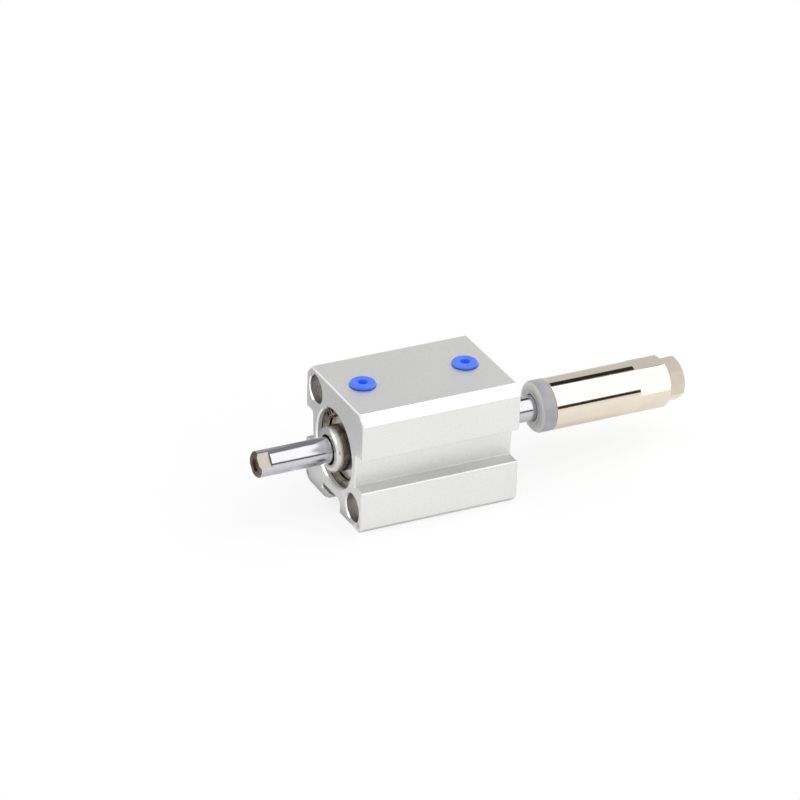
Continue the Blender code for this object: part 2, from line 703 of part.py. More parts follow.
def make_lock_nut(material, frame):
    """A hexagon nut with both faces turned to a cone at the corners."""
    corner = NUT_ACROSS / 2 / math.cos(math.pi / 6)
    face = corner - NUT_CORNER_CUT
    cone = NUT_CORNER_CUT * math.tan(math.pi / 6)
    thread = THREAD_RADIUS + THREAD_PLAY
    profile = [
        (0, thread + SLEEVE_CHAMFER),
        (0, face),
        (cone, corner),
        (NUT_THICKNESS - cone, corner),
        (NUT_THICKNESS, face),
        (NUT_THICKNESS, thread + SLEEVE_CHAMFER),
        (NUT_THICKNESS - SLEEVE_CHAMFER, thread),
        (SLEEVE_CHAMFER, thread),
    ]
    nut = turned("lock_nut", profile, material, frame, (NUT_FRONT, 0, 0))
    start = NUT_FRONT - STACK_GAP / 2
    end = NUT_FRONT + NUT_THICKNESS + CUT_MARGIN
    mill_flats(nut, NUT_ACROSS, start, end, 6, NUT_ANGLE, frame)


def make_plug(side, along, material, frame):
    """A soft transport plug in one port, with a dimple in its head."""
    seat = BODY_HEIGHT / 2 - PORT_SPOT_DEPTH + SEAT_GAP
    head = PORT_SPOT_RADIUS - SIDE_GAP
    stem = PORT_DIAMETER / 2 - SIDE_GAP
    dimple = PLUG_DIMPLE_DIAMETER / 2
    profile = [
        (-PLUG_STEM_LENGTH, 0),
        (-PLUG_STEM_LENGTH, stem - PLUG_HEAD_CHAMFER),
        (PLUG_HEAD_CHAMFER - PLUG_STEM_LENGTH, stem),
        (0, stem),
        (0, head),
        (PLUG_HEAD_HEIGHT - PLUG_HEAD_CHAMFER, head),
        (PLUG_HEAD_HEIGHT, head - PLUG_HEAD_CHAMFER),
        (PLUG_HEAD_HEIGHT, dimple),
        (PLUG_HEAD_HEIGHT - PLUG_DIMPLE_DEPTH, dimple),
        (PLUG_HEAD_HEIGHT - PLUG_DIMPLE_DEPTH, 0),
    ]
    turned(side + "_port_plug", profile, material, frame, (along, 0, seat), SMALL_STEPS, True)


def apply_and_shade():
    """Turn every piece into a plain mesh with smooth round faces and sharp edges."""
    graph = bpy.context.evaluated_depsgraph_get()
    for piece in PIECES.objects:
        if piece.type != "MESH":
            continue
        mesh = bpy.data.meshes.new_from_object(piece.evaluated_get(graph))
        piece.modifiers.clear()
        piece.data = mesh
        mesh.name = piece.name
        mesh.shade_smooth()
        mesh.set_sharp_from_angle(angle=math.radians(30))


def build():
    body_metal = finish("anodised_aluminium", (0.60, 0.60, 0.59), 0.38, 1.0)
    cover_metal = finish("cover_aluminium", (0.62, 0.61, 0.60), 0.32, 1.0)
    rod_chrome = finish("rod_chrome", (0.82, 0.82, 0.85), 0.10, 1.0)
    nickel = finish("bright_nickel", (0.78, 0.73, 0.66), 0.18, 1.0)
    spring_steel = finish("spring_steel", (0.16, 0.13, 0.11), 0.40, 1.0)
    piston_metal = finish("piston_aluminium", (0.66, 0.66, 0.66), 0.35, 1.0)
    bronze = finish("bush_bronze", (0.55, 0.36, 0.18), 0.40, 1.0)
    rubber = finish("seal_rubber", (0.02, 0.02, 0.02), 0.60, 0.0)
    urethane = finish("bumper_urethane", (0.48, 0.48, 0.50), 0.55, 0.0)
    plug_blue = finish("plug_blue", (0.07, 0.21, 0.94), 0.45, 0.0)

    frame = guide("front_face", (FRONT_FACE_X, 0, AXIS_HEIGHT))
    front_end = guide("front_end", (0, 0, 0), frame)
    rear_end = guide("rear_end", (BODY_LENGTH, 0, 0), frame, math.pi)
    rod_line = guide("rod_line", (0, 0, 0), frame)

    make_barrel(body_metal, frame)
    for side, end in (("front", front_end), ("rear", rear_end)):
        make_cover(side, cover_metal, end)
        make_cover_seal(side, rubber, end)
        make_rod_seal(side, rubber, end)
        make_bush(side, bronze, end)
        make_snap_ring(side, spring_steel, end)
        make_stop_pad(side, urethane, end)
    make_piston(piston_metal, rod_line)
    make_piston_seal(rubber, rod_line)
    make_front_rod(rod_chrome, rod_line)
    make_rear_rod(rod_chrome, rod_line)
    make_bumper(urethane, rod_line)
    make_sleeve(nickel, rod_line)
    make_lock_nut(nickel, rod_line)
    make_plug("front", PORT_SETBACK, plug_blue, frame)
    make_plug("rear", BODY_LENGTH - PORT_SETBACK, plug_blue, frame)
    apply_and_shade()


build()
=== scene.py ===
# %% [markdown]
# A compact pneumatic cylinder.
#
# A square aluminium extrusion is the cylinder barrel. A chromed rod runs right through
# it. Its front end is tapped for a tool, and on its rear end a threaded sleeve with a
# soft bumper and a lock nut sets how far the rod may travel.
#
# The mechanism is already there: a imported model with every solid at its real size.
# This script dresses it. Where a faceted solid would show, it makes a finer piece of
# the same shape; then come the finishes, the light and the camera.

# %% Load the mechanism
import math

import bmesh
import bpy
from mathutils import Matrix, Vector


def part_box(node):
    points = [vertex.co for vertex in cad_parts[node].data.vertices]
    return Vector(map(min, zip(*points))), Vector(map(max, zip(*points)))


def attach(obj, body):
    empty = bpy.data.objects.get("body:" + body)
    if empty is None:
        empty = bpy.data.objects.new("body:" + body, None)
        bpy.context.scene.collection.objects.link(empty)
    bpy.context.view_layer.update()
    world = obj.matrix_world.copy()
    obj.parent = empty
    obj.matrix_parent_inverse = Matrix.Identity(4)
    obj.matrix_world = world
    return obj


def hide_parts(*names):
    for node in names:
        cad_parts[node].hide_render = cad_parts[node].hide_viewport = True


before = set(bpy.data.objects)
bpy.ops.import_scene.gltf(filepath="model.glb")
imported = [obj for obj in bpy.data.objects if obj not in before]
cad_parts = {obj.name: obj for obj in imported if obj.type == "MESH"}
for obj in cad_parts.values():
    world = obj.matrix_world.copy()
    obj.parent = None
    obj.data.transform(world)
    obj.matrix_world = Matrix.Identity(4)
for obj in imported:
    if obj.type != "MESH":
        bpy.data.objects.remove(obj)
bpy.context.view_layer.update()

# %% [markdown]
# Everything round in a cylinder shares one axis, so the pieces are drawn about that
# axis, with x counted from the barrel's front face. One matrix then takes a finished
# mesh to its place in the model. The rear end is the front end turned half a turn.

# %% Places on the model
MM = 0.001

barrel_low, barrel_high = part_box("barrel")
FRONT_X = barrel_low.x
BARREL_LENGTH = barrel_high.x - barrel_low.x
AXIS_Z = (barrel_low.z + barrel_high.z) / 2
FRONT_PLACE = Matrix.Translation((FRONT_X, 0, AXIS_Z))
REAR_PLACE = Matrix.Translation((barrel_high.x, 0, AXIS_Z)) @ Matrix.Rotation(math.pi, 4, "Z")


def from_front(node):
    """A solid's first and last place along the axis, counted from the front face."""
    low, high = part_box(node)
    return low.x - FRONT_X, high.x - FRONT_X


ROD_TIP, _ = from_front("front_rod")
BUMPER_FRONT, _ = from_front("adjuster_bumper")
SLEEVE_FRONT, SLEEVE_BACK = from_front("adjuster_sleeve")
NUT_FRONT, NUT_BACK = from_front("lock_nut")
_, ROD_BACK = from_front("rear_rod")
PISTON_FRONT, PISTON_BACK = from_front("piston")
print("barrel length", round(BARREL_LENGTH / MM, 2), "mm, axis at", round(AXIS_Z / MM, 2), "mm")

# %% [markdown]
# Real metal parts have no perfectly sharp edge: each one is broken a little, and that
# thin strip catches the light. So each mesh keeps its small edge facets, is shaded
# smooth except at its hard corners, and gets face-weighted normals, which keep big flat
# faces flat right up to a narrow fillet.

# %% From a worked object to a finished piece
MERGE_DISTANCE = 0.0005 * MM
HARD_CORNER = math.radians(32)
FLAT_FACE_WEIGHT = 80      # of 100; above 50, a big face counts for more in a normal


def evaluated_mesh(obj):
    """A plain mesh of an object with its modifiers."""
    graph = bpy.context.evaluated_depsgraph_get()
    return bpy.data.meshes.new_from_object(obj.evaluated_get(graph))


def linked(name, data):
    obj = bpy.data.objects.new(name, data)
    bpy.context.scene.collection.objects.link(obj)
    return obj


def clean(mesh):
    """Close the seams and poles of a mesh and turn its faces outwards."""
    work = bmesh.new()
    work.from_mesh(mesh)
    bmesh.ops.remove_doubles(work, verts=work.verts, dist=MERGE_DISTANCE)
    bmesh.ops.dissolve_degenerate(work, edges=work.edges, dist=MERGE_DISTANCE)
    bmesh.ops.recalc_face_normals(work, faces=work.faces)
    work.to_mesh(mesh)
    work.free()


def finished(obj, place, body, slot, *nodes):
    """Bake an object into a plain mesh at its place, and hand it to the body it rides on."""
    mesh = evaluated_mesh(obj)
    name = obj.name
    bpy.data.objects.remove(obj)
    mesh.transform(place)
    clean(mesh)
    mesh.shade_smooth()
    mesh.set_sharp_from_angle(angle=HARD_CORNER)
    rough = linked(name + "_rough", mesh)
    weighted = rough.modifiers.new("weighted", "WEIGHTED_NORMAL")
    weighted.keep_sharp = True
    weighted.weight = FLAT_FACE_WEIGHT
    final = evaluated_mesh(rough)
    bpy.data.objects.remove(rough)
    final.name = name
    piece = linked(name, final)
    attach(piece, body)
    if nodes:
        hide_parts(*nodes)
    final.calc_loop_triangles()
    print(name, len(final.loop_triangles), "triangles")
    return piece


# %% [markdown]
# Shapes and surfaces are both built from nodes here. A few short helpers keep those
# trees readable: one makes a node and feeds its inputs, one does a sum, one links nodes
# in a row, and one starts a group with its inputs and its output.

# %% Helpers for nodes
def feed(tree, socket, value):
    """Give a socket a value of its own, or a link from another socket."""
    if isinstance(value, bpy.types.NodeSocket):
        tree.links.new(value, socket)
    else:
        socket.default_value = value


def new_node(tree, kind, **settings):
    """A new node. A name with a capital feeds an input; any other is the node's own setting."""
    made = tree.nodes.new(kind)
    for name, value in settings.items():
        if name[0].isupper():
            feed(tree, made.inputs[name.replace("_", " ")], value)
        else:
            setattr(made, name, value)
    return made


def math_node(tree, operation, first, second=0.0):
    """The value of a Math node; each operand is a socket or a number."""
    made = new_node(tree, "ShaderNodeMath", operation=operation)
    feed(tree, made.inputs[0], first)
    feed(tree, made.inputs[1], second)
    return made.outputs[0]


def chain(tree, *steps):
    """Link node to node by their first output and first input."""
    for before, after in zip(steps, steps[1:]):
        tree.links.new(before.outputs[0], after.inputs[0])


def start_group(name, kind, inputs, output):
    """A node group: inputs are given as (label, kind, value), its one output as (label, kind)."""
    group = bpy.data.node_groups.new(name, kind)
    for label, socket_kind, value in inputs:
        socket = group.interface.new_socket(label, in_out="INPUT", socket_type=socket_kind)
        if value is not None:
            socket.default_value = value
    label, socket_kind = output
    group.interface.new_socket(label, in_out="OUTPUT", socket_type=socket_kind)
    return group, group.nodes.new("NodeGroupInput"), group.nodes.new("NodeGroupOutput")


# %% Helpers for Geometry Nodes
def start_tree(name, inputs):
    """A modifier tree that takes and gives a geometry."""
    geometry = ("Geometry", "NodeSocketGeometry")
    tree, given, result = start_group(name, "GeometryNodeTree", [(*geometry, None)] + inputs, geometry)
    tree.is_modifier = True
    return tree, given, result


def end_tree(tree, given, last, result):
    """The last steps of each tree: shade it smooth, make it real and paint it."""
    smooth = new_node(tree, "GeometryNodeSetShadeSmooth")
    realize = new_node(tree, "GeometryNodeRealizeInstances")
    paint = new_node(tree, "GeometryNodeSetMaterial", Material=given.outputs["Material"])
    chain(tree, last, smooth, realize, paint, result)
    return tree


def use_tree(obj, tree, values):
    """Add a tree as a modifier and set its inputs by their sockets' identifiers."""
    modifier = obj.modifiers.new(tree.name, "NODES")
    modifier.node_group = tree
    for item in tree.interface.items_tree:
        if item.item_type == "SOCKET" and item.in_out == "INPUT" and item.name in values:
            modifier[item.identifier] = values[item.name]


# %% [markdown]
# Most of this product comes off a lathe. A lathe follows one rule: a profile is swept
# round an axis. That is a job for Geometry Nodes. The tree takes a profile drawn as a
# few edges, breaks its corners with Fillet Curve, the way a turner's tool nose does, and
# sweeps it along a circle. The circle has a radius of its own, which the profile gives
# back, because a sweep along a point has no direction.

# %% The lathe
GUIDE_RADIUS = 10 * MM
EDGE_ROUND = 0.08 * MM
EDGE_STEPS = 3


def build_lathe():
    tree, given, result = start_tree("lathe", [
        ("Steps", "NodeSocketInt", 96),
        ("Edge Radius", "NodeSocketFloat", EDGE_ROUND),
        ("Material", "NodeSocketMaterial", None),
    ])
    profile = new_node(tree, "GeometryNodeMeshToCurve")
    fillet = new_node(tree, "GeometryNodeFilletCurve", mode="POLY", Limit_Radius=True, Count=EDGE_STEPS,
                      Radius=given.outputs["Edge Radius"])
    circle = new_node(tree, "GeometryNodeCurvePrimitiveCircle", Radius=GUIDE_RADIUS,
                      Resolution=given.outputs["Steps"])
    upright = new_node(tree, "GeometryNodeSetCurveNormal", mode="Z_UP")
    sweep = new_node(tree, "GeometryNodeCurveToMesh", Profile_Curve=fillet.outputs[0])
    merge = new_node(tree, "GeometryNodeMergeByDistance", Distance=MERGE_DISTANCE)
    chain(tree, given, profile, fillet)
    chain(tree, circle, upright, sweep, merge)
    return end_tree(tree, given, merge, result)


LATHE = build_lathe()
LIE_ALONG_X = Matrix.Rotation(math.pi / 2, 4, "Y")


def turned(name, profile, material=None, steps=96, edge=EDGE_ROUND, upright=False):
    """Turn (along, radius) points about X, or about Z when upright."""
    points = [(radius - GUIDE_RADIUS, -along, 0) for along, radius in profile]
    edges = [(i, i + 1) for i in range(len(points) - 1)]
    if profile[0][1] > 0:
        edges.append((len(points) - 1, 0))
    drawing = bpy.data.meshes.new(name)
    drawing.from_pydata(points, edges, [])
    obj = linked(name, drawing)
    use_tree(obj, LATHE, {"Steps": steps, "Edge Radius": edge, "Material": material})
    mesh = evaluated_mesh(obj)
    obj.modifiers.clear()
    clean(mesh)
    if not upright:
        mesh.transform(LIE_ALONG_X)
    obj.data = mesh
    return obj


# %% [markdown]
# A mill cuts flats and a drill cuts holes, so those are Boolean cuts. Each cutter is
# made, used and thrown away. The exact solver keeps the curved line where a flat meets
# the round, which is what makes a real hexagon nut look turned and milled.

# %% Cutting tools
CUT_MARGIN = 1.0 * MM


def cut(obj, *cutters):
    """Take cutters out of an object and drop them."""
    for cutter in cutters:
        boolean = obj.modifiers.new(cutter.name, "BOOLEAN")
        boolean.operation = "DIFFERENCE"
        boolean.solver = "EXACT"
        boolean.object = cutter
    mesh = evaluated_mesh(obj)
    obj.modifiers.clear()
    obj.data = mesh
    for cutter in cutters:
        bpy.data.objects.remove(cutter)
    return obj


def polar(radius, angle, centre=(0.0, 0.0)):
    return centre[0] + radius * math.cos(angle), centre[1] + radius * math.sin(angle)


def mill_flats(obj, across, start, end, count, first_angle):
    """Mill flats between two places along X; the first faces first_angle from +Y."""
    thickness = across / 2      # of the block that each flat is cut with
    cutters = []
    for index in range(count):
        angle = first_angle + math.tau * index / count
        y, z = polar((across + thickness) / 2, angle)
        mesh = bpy.data.meshes.new(f"{obj.name}_flat_{index}")
        work = bmesh.new()
        bmesh.ops.create_cube(work, size=1.0)
        bmesh.ops.scale(work, vec=(end - start, thickness, 2 * across), verts=work.verts)
        work.to_mesh(mesh)
        work.free()
        turn = Matrix.Translation(((start + end) / 2, y, z)) @ Matrix.Rotation(angle, 4, "X")
        mesh.transform(turn)
        cutters.append(linked(mesh.name, mesh))
    return cut(obj, *cutters)


# %% [markdown]
# A screw thread is a ridge that climbs a helix: one turn of the spiral for each pitch.
# The tree sweeps a trapezoid along the spiral and lets it fade at both ends, where a
# real thread runs out. The same tree makes the outside thread on the rod, with its
# ridge pointing out, and the tapped holes, with the ridge pointing in.

# %% The thread cutter
THREAD_STEPS = 48
RIDGE_BASE = 0.86      # share of a pitch that the ridge covers at its foot
RIDGE_CREST = 0.16     # and at its crest
RIDGE_SINK = 0.03 * MM   # how far the foot is sunk, so that no slit shows under it
RUN_OUT = 0.6          # turns over which the ridge fades
RIDGE_LEAST = 0.05     # share of its size that it keeps at its very ends


def build_threader():
    tree, given, result = start_tree("thread", [
        ("Foot Radius", "NodeSocketFloat", 2.4 * MM),
        ("Depth", "NodeSocketFloat", 0.5 * MM),
        ("Pitch", "NodeSocketFloat", 1.0 * MM),
        ("Turns", "NodeSocketFloat", 8.0),
        ("Material", "NodeSocketMaterial", None),
    ])
    foot, depth = given.outputs["Foot Radius"], given.outputs["Depth"]
    pitch, turns = given.outputs["Pitch"], given.outputs["Turns"]
    spiral = new_node(tree, "GeometryNodeCurveSpiral", Resolution=THREAD_STEPS, Reverse=True,
                      Rotations=turns, Start_Radius=foot, End_Radius=foot,
                      Height=math_node(tree, "MULTIPLY", pitch, turns))
    upright = new_node(tree, "GeometryNodeSetCurveNormal", mode="Z_UP")

    section = new_node(tree, "GeometryNodeCurvePrimitiveQuadrilateral", mode="TRAPEZOID", Offset=0,
                       Bottom_Width=math_node(tree, "MULTIPLY", pitch, RIDGE_BASE),
                       Top_Width=math_node(tree, "MULTIPLY", pitch, RIDGE_CREST),
                       Height=math_node(tree, "ABSOLUTE", depth))
    side = math_node(tree, "SIGN", depth)
    middle = math_node(tree, "MULTIPLY", depth, 0.5)
    sunk = math_node(tree, "MULTIPLY", side, RIDGE_SINK)
    angles = new_node(tree, "ShaderNodeCombineXYZ", Z=math_node(tree, "MULTIPLY", side, -math.pi / 2))
    shift = new_node(tree, "ShaderNodeCombineXYZ", X=math_node(tree, "SUBTRACT", middle, sunk))
    turn = new_node(tree, "GeometryNodeTransform", Rotation=angles.outputs[0], Translation=shift.outputs[0])
    chain(tree, section, turn)

    along = new_node(tree, "GeometryNodeSplineParameter").outputs["Factor"]
    nearest = math_node(tree, "MINIMUM", along, math_node(tree, "SUBTRACT", 1.0, along))
    fade = math_node(tree, "DIVIDE", math_node(tree, "MULTIPLY", nearest, turns), RUN_OUT)
    scale = math_node(tree, "MINIMUM", math_node(tree, "ADD", fade, RIDGE_LEAST), 1.0)
    sweep = new_node(tree, "GeometryNodeCurveToMesh", Fill_Caps=True, Profile_Curve=turn.outputs[0],
                     Scale=scale)
    chain(tree, spiral, upright, sweep)
    return end_tree(tree, given, sweep, result)


THREADER = build_threader()


def threaded(name, foot_radius, depth, pitch, length, material):
    """A ridge that climbs along X from the origin; a negative depth points inwards."""
    obj = linked(name, bpy.data.meshes.new(name))
    use_tree(obj, THREADER, {
        "Foot Radius": foot_radius,
        "Depth": depth,
        "Pitch": pitch,
        "Turns": length / pitch,
        "Material": material,
    })
    mesh = evaluated_mesh(obj)
    obj.modifiers.clear()
    mesh.transform(LIE_ALONG_X)
    obj.data = mesh
    return obj


# %% [markdown]
# Now the finishes. A few effects come back on these surfaces, so each is a small shader
# group: the fine grain of a blasted or moulded face, the lines of a drawn bar, the feed
# marks of a lathe, the faint unevenness left by handling, a painted shade along a line
# of the barrel, and how far a surface looks along the axis. A group only gives a number
# between 0 and 1. What that number does, to colour, gloss or relief, is decided in each
# material.

# %% Shared surface effects
PLACE = ("Place", "NodeSocketVector", None)
FACING = ("Facing", "NodeSocketVector", None)
HANDLED = (0.38, 0.66)      # the noise values between which a clean patch becomes a handled one
LOOKS_ALONG = (0.3, 0.95)   # how far a normal points along X, from not at all an end face to one
END_FACING = 0.7            # and the single step between the two


def start_effect(name, inputs):
    """A shader group with one output, a mask from 0 to 1."""
    return start_group(name, "ShaderNodeTree", inputs, ("Mask", "NodeSocketFloat"))


def end_effect(group, mask, result):
    group.links.new(mask, result.inputs["Mask"])
    return group


def split(tree, vector):
    """The X, Y and Z of a vector, as sockets by name."""
    return new_node(tree, "ShaderNodeSeparateXYZ", Vector=vector).outputs


def noise(tree, detail, **where):
    """Noise with cells one unit long, over a Vector or along a single number W."""
    made = new_node(tree, "ShaderNodeTexNoise", noise_dimensions="1D" if "W" in where else "3D",
                    Scale=1.0, Detail=detail, **where)
    return made.outputs["Fac"]


def cells(tree, place, *sizes):
    """Coordinates counted in cells of the given size along each axis."""
    parts = split(tree, place)
    counts = {axis: math_node(tree, "DIVIDE", parts[axis], size) for axis, size in zip("XYZ", sizes)}
    return new_node(tree, "ShaderNodeCombineXYZ", **counts).outputs[0]


def soft_step(tree, value, start, end, low=0.0):
    """From low, at the start, to 1, at the end, with a soft rise between them."""
    made = new_node(tree, "ShaderNodeMapRange", interpolation_type="SMOOTHSTEP", Value=value,
                    From_Min=start, From_Max=end, To_Min=low)
    return made.outputs["Result"]


def build_grain():
    group, given, result = start_effect("fine grain", [PLACE, ("Size", "NodeSocketFloat", 0.2 * MM)])
    size = given.outputs["Size"]
    mask = noise(group, 2.0, Vector=cells(group, given.outputs["Place"], size, size, size))
    return end_effect(group, mask, result)


def build_drawn_lines():
    group, given, result = start_effect("drawn lines", [
        PLACE,
        ("Length", "NodeSocketFloat", 30 * MM),
        ("Width", "NodeSocketFloat", 0.15 * MM),
    ])
    length, width = given.outputs["Length"], given.outputs["Width"]
    mask = noise(group, 3.0, Vector=cells(group, given.outputs["Place"], length, width, width))
    return end_effect(group, mask, result)


def build_feed_marks():
    """Rings along a turned length, and circles on a face that looks along the axis."""
    group, given, result = start_effect("feed marks", [
        PLACE,
        FACING,
        ("Axis Height", "NodeSocketFloat", AXIS_Z),
        ("Feed", "NodeSocketFloat", 0.12 * MM),
    ])
    place = split(group, given.outputs["Place"])
    facing = split(group, given.outputs["Facing"])
    height = math_node(group, "SUBTRACT", place["Z"], given.outputs["Axis Height"])
    squares = [math_node(group, "POWER", way, 2.0) for way in (place["Y"], height)]
    radius = math_node(group, "POWER", math_node(group, "ADD", *squares), 0.5)
    end_face = math_node(group, "GREATER_THAN", math_node(group, "ABSOLUTE", facing["X"]), END_FACING)
    side_face = math_node(group, "SUBTRACT", 1.0, end_face)
    along = math_node(group, "MULTIPLY", place["X"], side_face)
    across = math_node(group, "MULTIPLY", radius, end_face)
    travel = math_node(group, "ADD", along, across)
    mask = noise(group, 2.0, W=math_node(group, "DIVIDE", travel, given.outputs["Feed"]))
    return end_effect(group, mask, result)


def build_handling():
    group, given, result = start_effect("handling", [PLACE, ("Size", "NodeSocketFloat", 8 * MM)])
    size = given.outputs["Size"]
    cloud = noise(group, 4.0, Vector=cells(group, given.outputs["Place"], size, size, size))
    return end_effect(group, soft_step(group, cloud, *HANDLED), result)


def build_painted_shade():
    """A mask for painted shade: strongest along a line that runs the length of the barrel, on both sides.
    """
    group, given, result = start_effect("corner shade", [
        PLACE,
        ("Across", "NodeSocketFloat", 10 * MM),
        ("Height", "NodeSocketFloat", 10 * MM),
        ("Reach", "NodeSocketFloat", 3 * MM),
    ])
    place = split(group, given.outputs["Place"])
    width = math_node(group, "ABSOLUTE", place["Y"])
    sideways = math_node(group, "SUBTRACT", width, given.outputs["Across"])
    upwards = math_node(group, "SUBTRACT", place["Z"], given.outputs["Height"])
    squares = [math_node(group, "MULTIPLY", way, way) for way in (sideways, upwards)]
    distance = math_node(group, "SQRT", math_node(group, "ADD", *squares))
    share = math_node(group, "DIVIDE", distance, given.outputs["Reach"])
    return end_effect(group, soft_step(group, share, 1.0, 0.0), result)


def build_end_face():
    """Strong where a surface looks along the axis, gone where it looks outwards."""
    group, given, result = start_effect("end face", [FACING])
    along = math_node(group, "ABSOLUTE", split(group, given.outputs["Facing"])["X"])
    return end_effect(group, soft_step(group, along, *LOOKS_ALONG), result)


GRAIN = build_grain()
DRAWN_LINES = build_drawn_lines()
FEED_MARKS = build_feed_marks()
HANDLING = build_handling()
PAINTED_SHADE = build_painted_shade()
END_FACE = build_end_face()
EFFECTS = (GRAIN, DRAWN_LINES, FEED_MARKS, HANDLING, PAINTED_SHADE, END_FACE)
print("effects:", ", ".join(group.name for group in EFFECTS))


# %% A material's bench
class Finish:
    """A material under construction: its shader, and short ways to drive its sockets."""

    def __init__(self, name, **constants):
        self.material = bpy.data.materials.new(name)
        self.material.use_nodes = True
        self.tree = self.material.node_tree
        self.shader = self.tree.nodes["Principled BSDF"]
        for label, value in constants.items():
            self.shader.inputs[label.replace("_", " ")].default_value = value
        self.where = new_node(self.tree, "ShaderNodeTexCoord").outputs
        self.relief = None

    def effect(self, group, **sizes):
        """Place an effect group on the object's own coordinates; returns its mask."""
        made = new_node(self.tree, "ShaderNodeGroup", node_tree=group, **sizes)
        for label, coordinates in (("Place", "Object"), ("Facing", "Normal")):
            if label in made.inputs:
                feed(self.tree, made.inputs[label], self.where[coordinates])
        return made.outputs["Mask"]

    def mix(self, mask, first, second, blend_type="MIX"):
        """A mix of two colours, each a socket or a tuple, as the base colour."""
        made = new_node(self.tree, "ShaderNodeMix", data_type="RGBA", blend_type=blend_type,
                        Factor=mask, A=first, B=second)
        feed(self.tree, self.shader.inputs["Base Color"], made.outputs["Result"])
        return self

    def colour(self, mask, low, high):
        """Blend two base colours by a mask."""
        return self.mix(mask, (*low, 1), (*high, 1))

    def tint(self, mask, colour, blend_type):
        """Lay a colour over the base colour where the mask is high."""
        before = self.shader.inputs["Base Color"].links[0].from_socket
        return self.mix(mask, before, (*colour, 1), blend_type)

    def darken(self, mask, tone):
        return self.tint(mask, (tone, tone, tone), "MULTIPLY")

    def lighten(self, mask, colour):
        return self.tint(mask, colour, "MIX")

    def roughness(self, mask, low, high):
        spread = new_node(self.tree, "ShaderNodeMapRange", Value=mask, To_Min=low, To_Max=high)
        feed(self.tree, self.shader.inputs["Roughness"], spread.outputs["Result"])
        return self

    def bump(self, mask, strength, height):
        """Add a relief of the given height; a second call is laid over the first."""
        made = new_node(self.tree, "ShaderNodeBump", Strength=strength, Distance=height, Height=mask)
        if self.relief is not None:
            feed(self.tree, made.inputs["Normal"], self.relief)
        self.relief = made.outputs["Normal"]
        feed(self.tree, self.shader.inputs["Normal"], self.relief)
        return self


# %% [markdown]
# The barrel is clear anodised aluminium: satin, almost white where it faces the light.
# A blasted grain far finer than a millimetre breaks the reflection up, and faint lines
# along its length remember the die that it was drawn through. Painted shade dims the two
# inner ledges and the lower edge. Turned and bored faces are the same metal with feed marks,
# and a chamfer that was cut after the anodising shines.

# %% Aluminium
def anodised(name, metallic, low, high, smooth, dull):
    finish = Finish(name, Metallic=metallic)
    speckle = finish.effect(GRAIN, Size=0.38 * MM)
    grain = finish.effect(GRAIN, Size=0.14 * MM)
    lines = finish.effect(DRAWN_LINES, Length=45 * MM, Width=0.22 * MM)
    smudge = finish.effect(HANDLING, Size=9 * MM)
    # painted shade: a darker line along the foot's lower edge, where its contact shadow falls
    under = finish.effect(PAINTED_SHADE, Across=13.1 * MM, Height=1.7 * MM, Reach=1.1 * MM)
    finish.colour(speckle, low, high)
    finish.darken(under, 0.55)
    finish.roughness(smudge, smooth, dull)
    finish.bump(grain, 0.3, 0.006 * MM)
    finish.bump(lines, 0.25, 0.004 * MM)
    return finish.material


def machined(name, low, high, smooth, dull, lathe_feed, strength, height):
    finish = Finish(name, Metallic=1.0)
    marks = finish.effect(FEED_MARKS, Feed=lathe_feed)
    finish.colour(marks, low, high)
    finish.roughness(marks, smooth, dull)
    finish.bump(marks, strength, height)
    return finish.material


def turned_aluminium(name, low, high, smooth, dull):
    return machined(name, low, high, smooth, dull, 0.10 * MM, 0.35, 0.002 * MM)


def bored_aluminium():
    low, high = (0.74, 0.725, 0.695), (0.88, 0.865, 0.835)
    return machined("bored aluminium", low, high, 0.22, 0.34, 0.16 * MM, 0.4, 0.004 * MM)


# %% [markdown]
# Chrome, nickel and steel differ less in what they are than in how much they keep of
# the light and how smooth they are. Hard chrome on a ground rod is a cool, dark mirror.
# Nickel plate is a warm, bright one. The two flats at the rod's end have lost their
# chrome and show plain steel, its end face is browned, and a snap ring is oiled spring
# steel, dark brown.

# %% Plated and plain steel
def hard_chrome():
    finish = Finish("hard chrome", Metallic=1.0)
    marks = finish.effect(FEED_MARKS, Feed=0.09 * MM)
    smudge = finish.effect(HANDLING, Size=5 * MM)
    finish.colour(smudge, (0.575, 0.575, 0.60), (0.61, 0.61, 0.635))
    finish.roughness(marks, 0.13, 0.20)
    finish.bump(marks, 0.2, 0.0006 * MM)
    return finish.material


def milled_steel(name, low, high):
    finish = Finish(name, Metallic=1.0)
    grain = finish.effect(GRAIN, Size=0.25 * MM)
    lines = finish.effect(DRAWN_LINES, Length=0.1 * MM, Width=1.2 * MM)
    finish.colour(grain, low, high)
    finish.roughness(lines, 0.30, 0.42)
    finish.bump(lines, 0.3, 0.004 * MM)
    return finish.material


def bright_nickel(name, smooth, dull):
    finish = Finish(name, Metallic=1.0)
    marks = finish.effect(FEED_MARKS, Feed=0.14 * MM)
    smudge = finish.effect(HANDLING, Size=6 * MM)
    finish.colour(smudge, (0.785, 0.705, 0.60), (0.815, 0.735, 0.63))
    finish.roughness(marks, smooth, dull)
    finish.bump(marks, 0.25, 0.0012 * MM)
    return finish.material


def spring_steel():
    finish = Finish("oiled spring steel", Metallic=1.0)
    smudge = finish.effect(HANDLING, Size=2.5 * MM)
    grain = finish.effect(GRAIN, Size=0.12 * MM)
    finish.colour(smudge, (0.17, 0.14, 0.105), (0.52, 0.46, 0.38))
    finish.roughness(smudge, 0.12, 0.24)
    finish.bump(grain, 0.2, 0.003 * MM)
    return finish.material


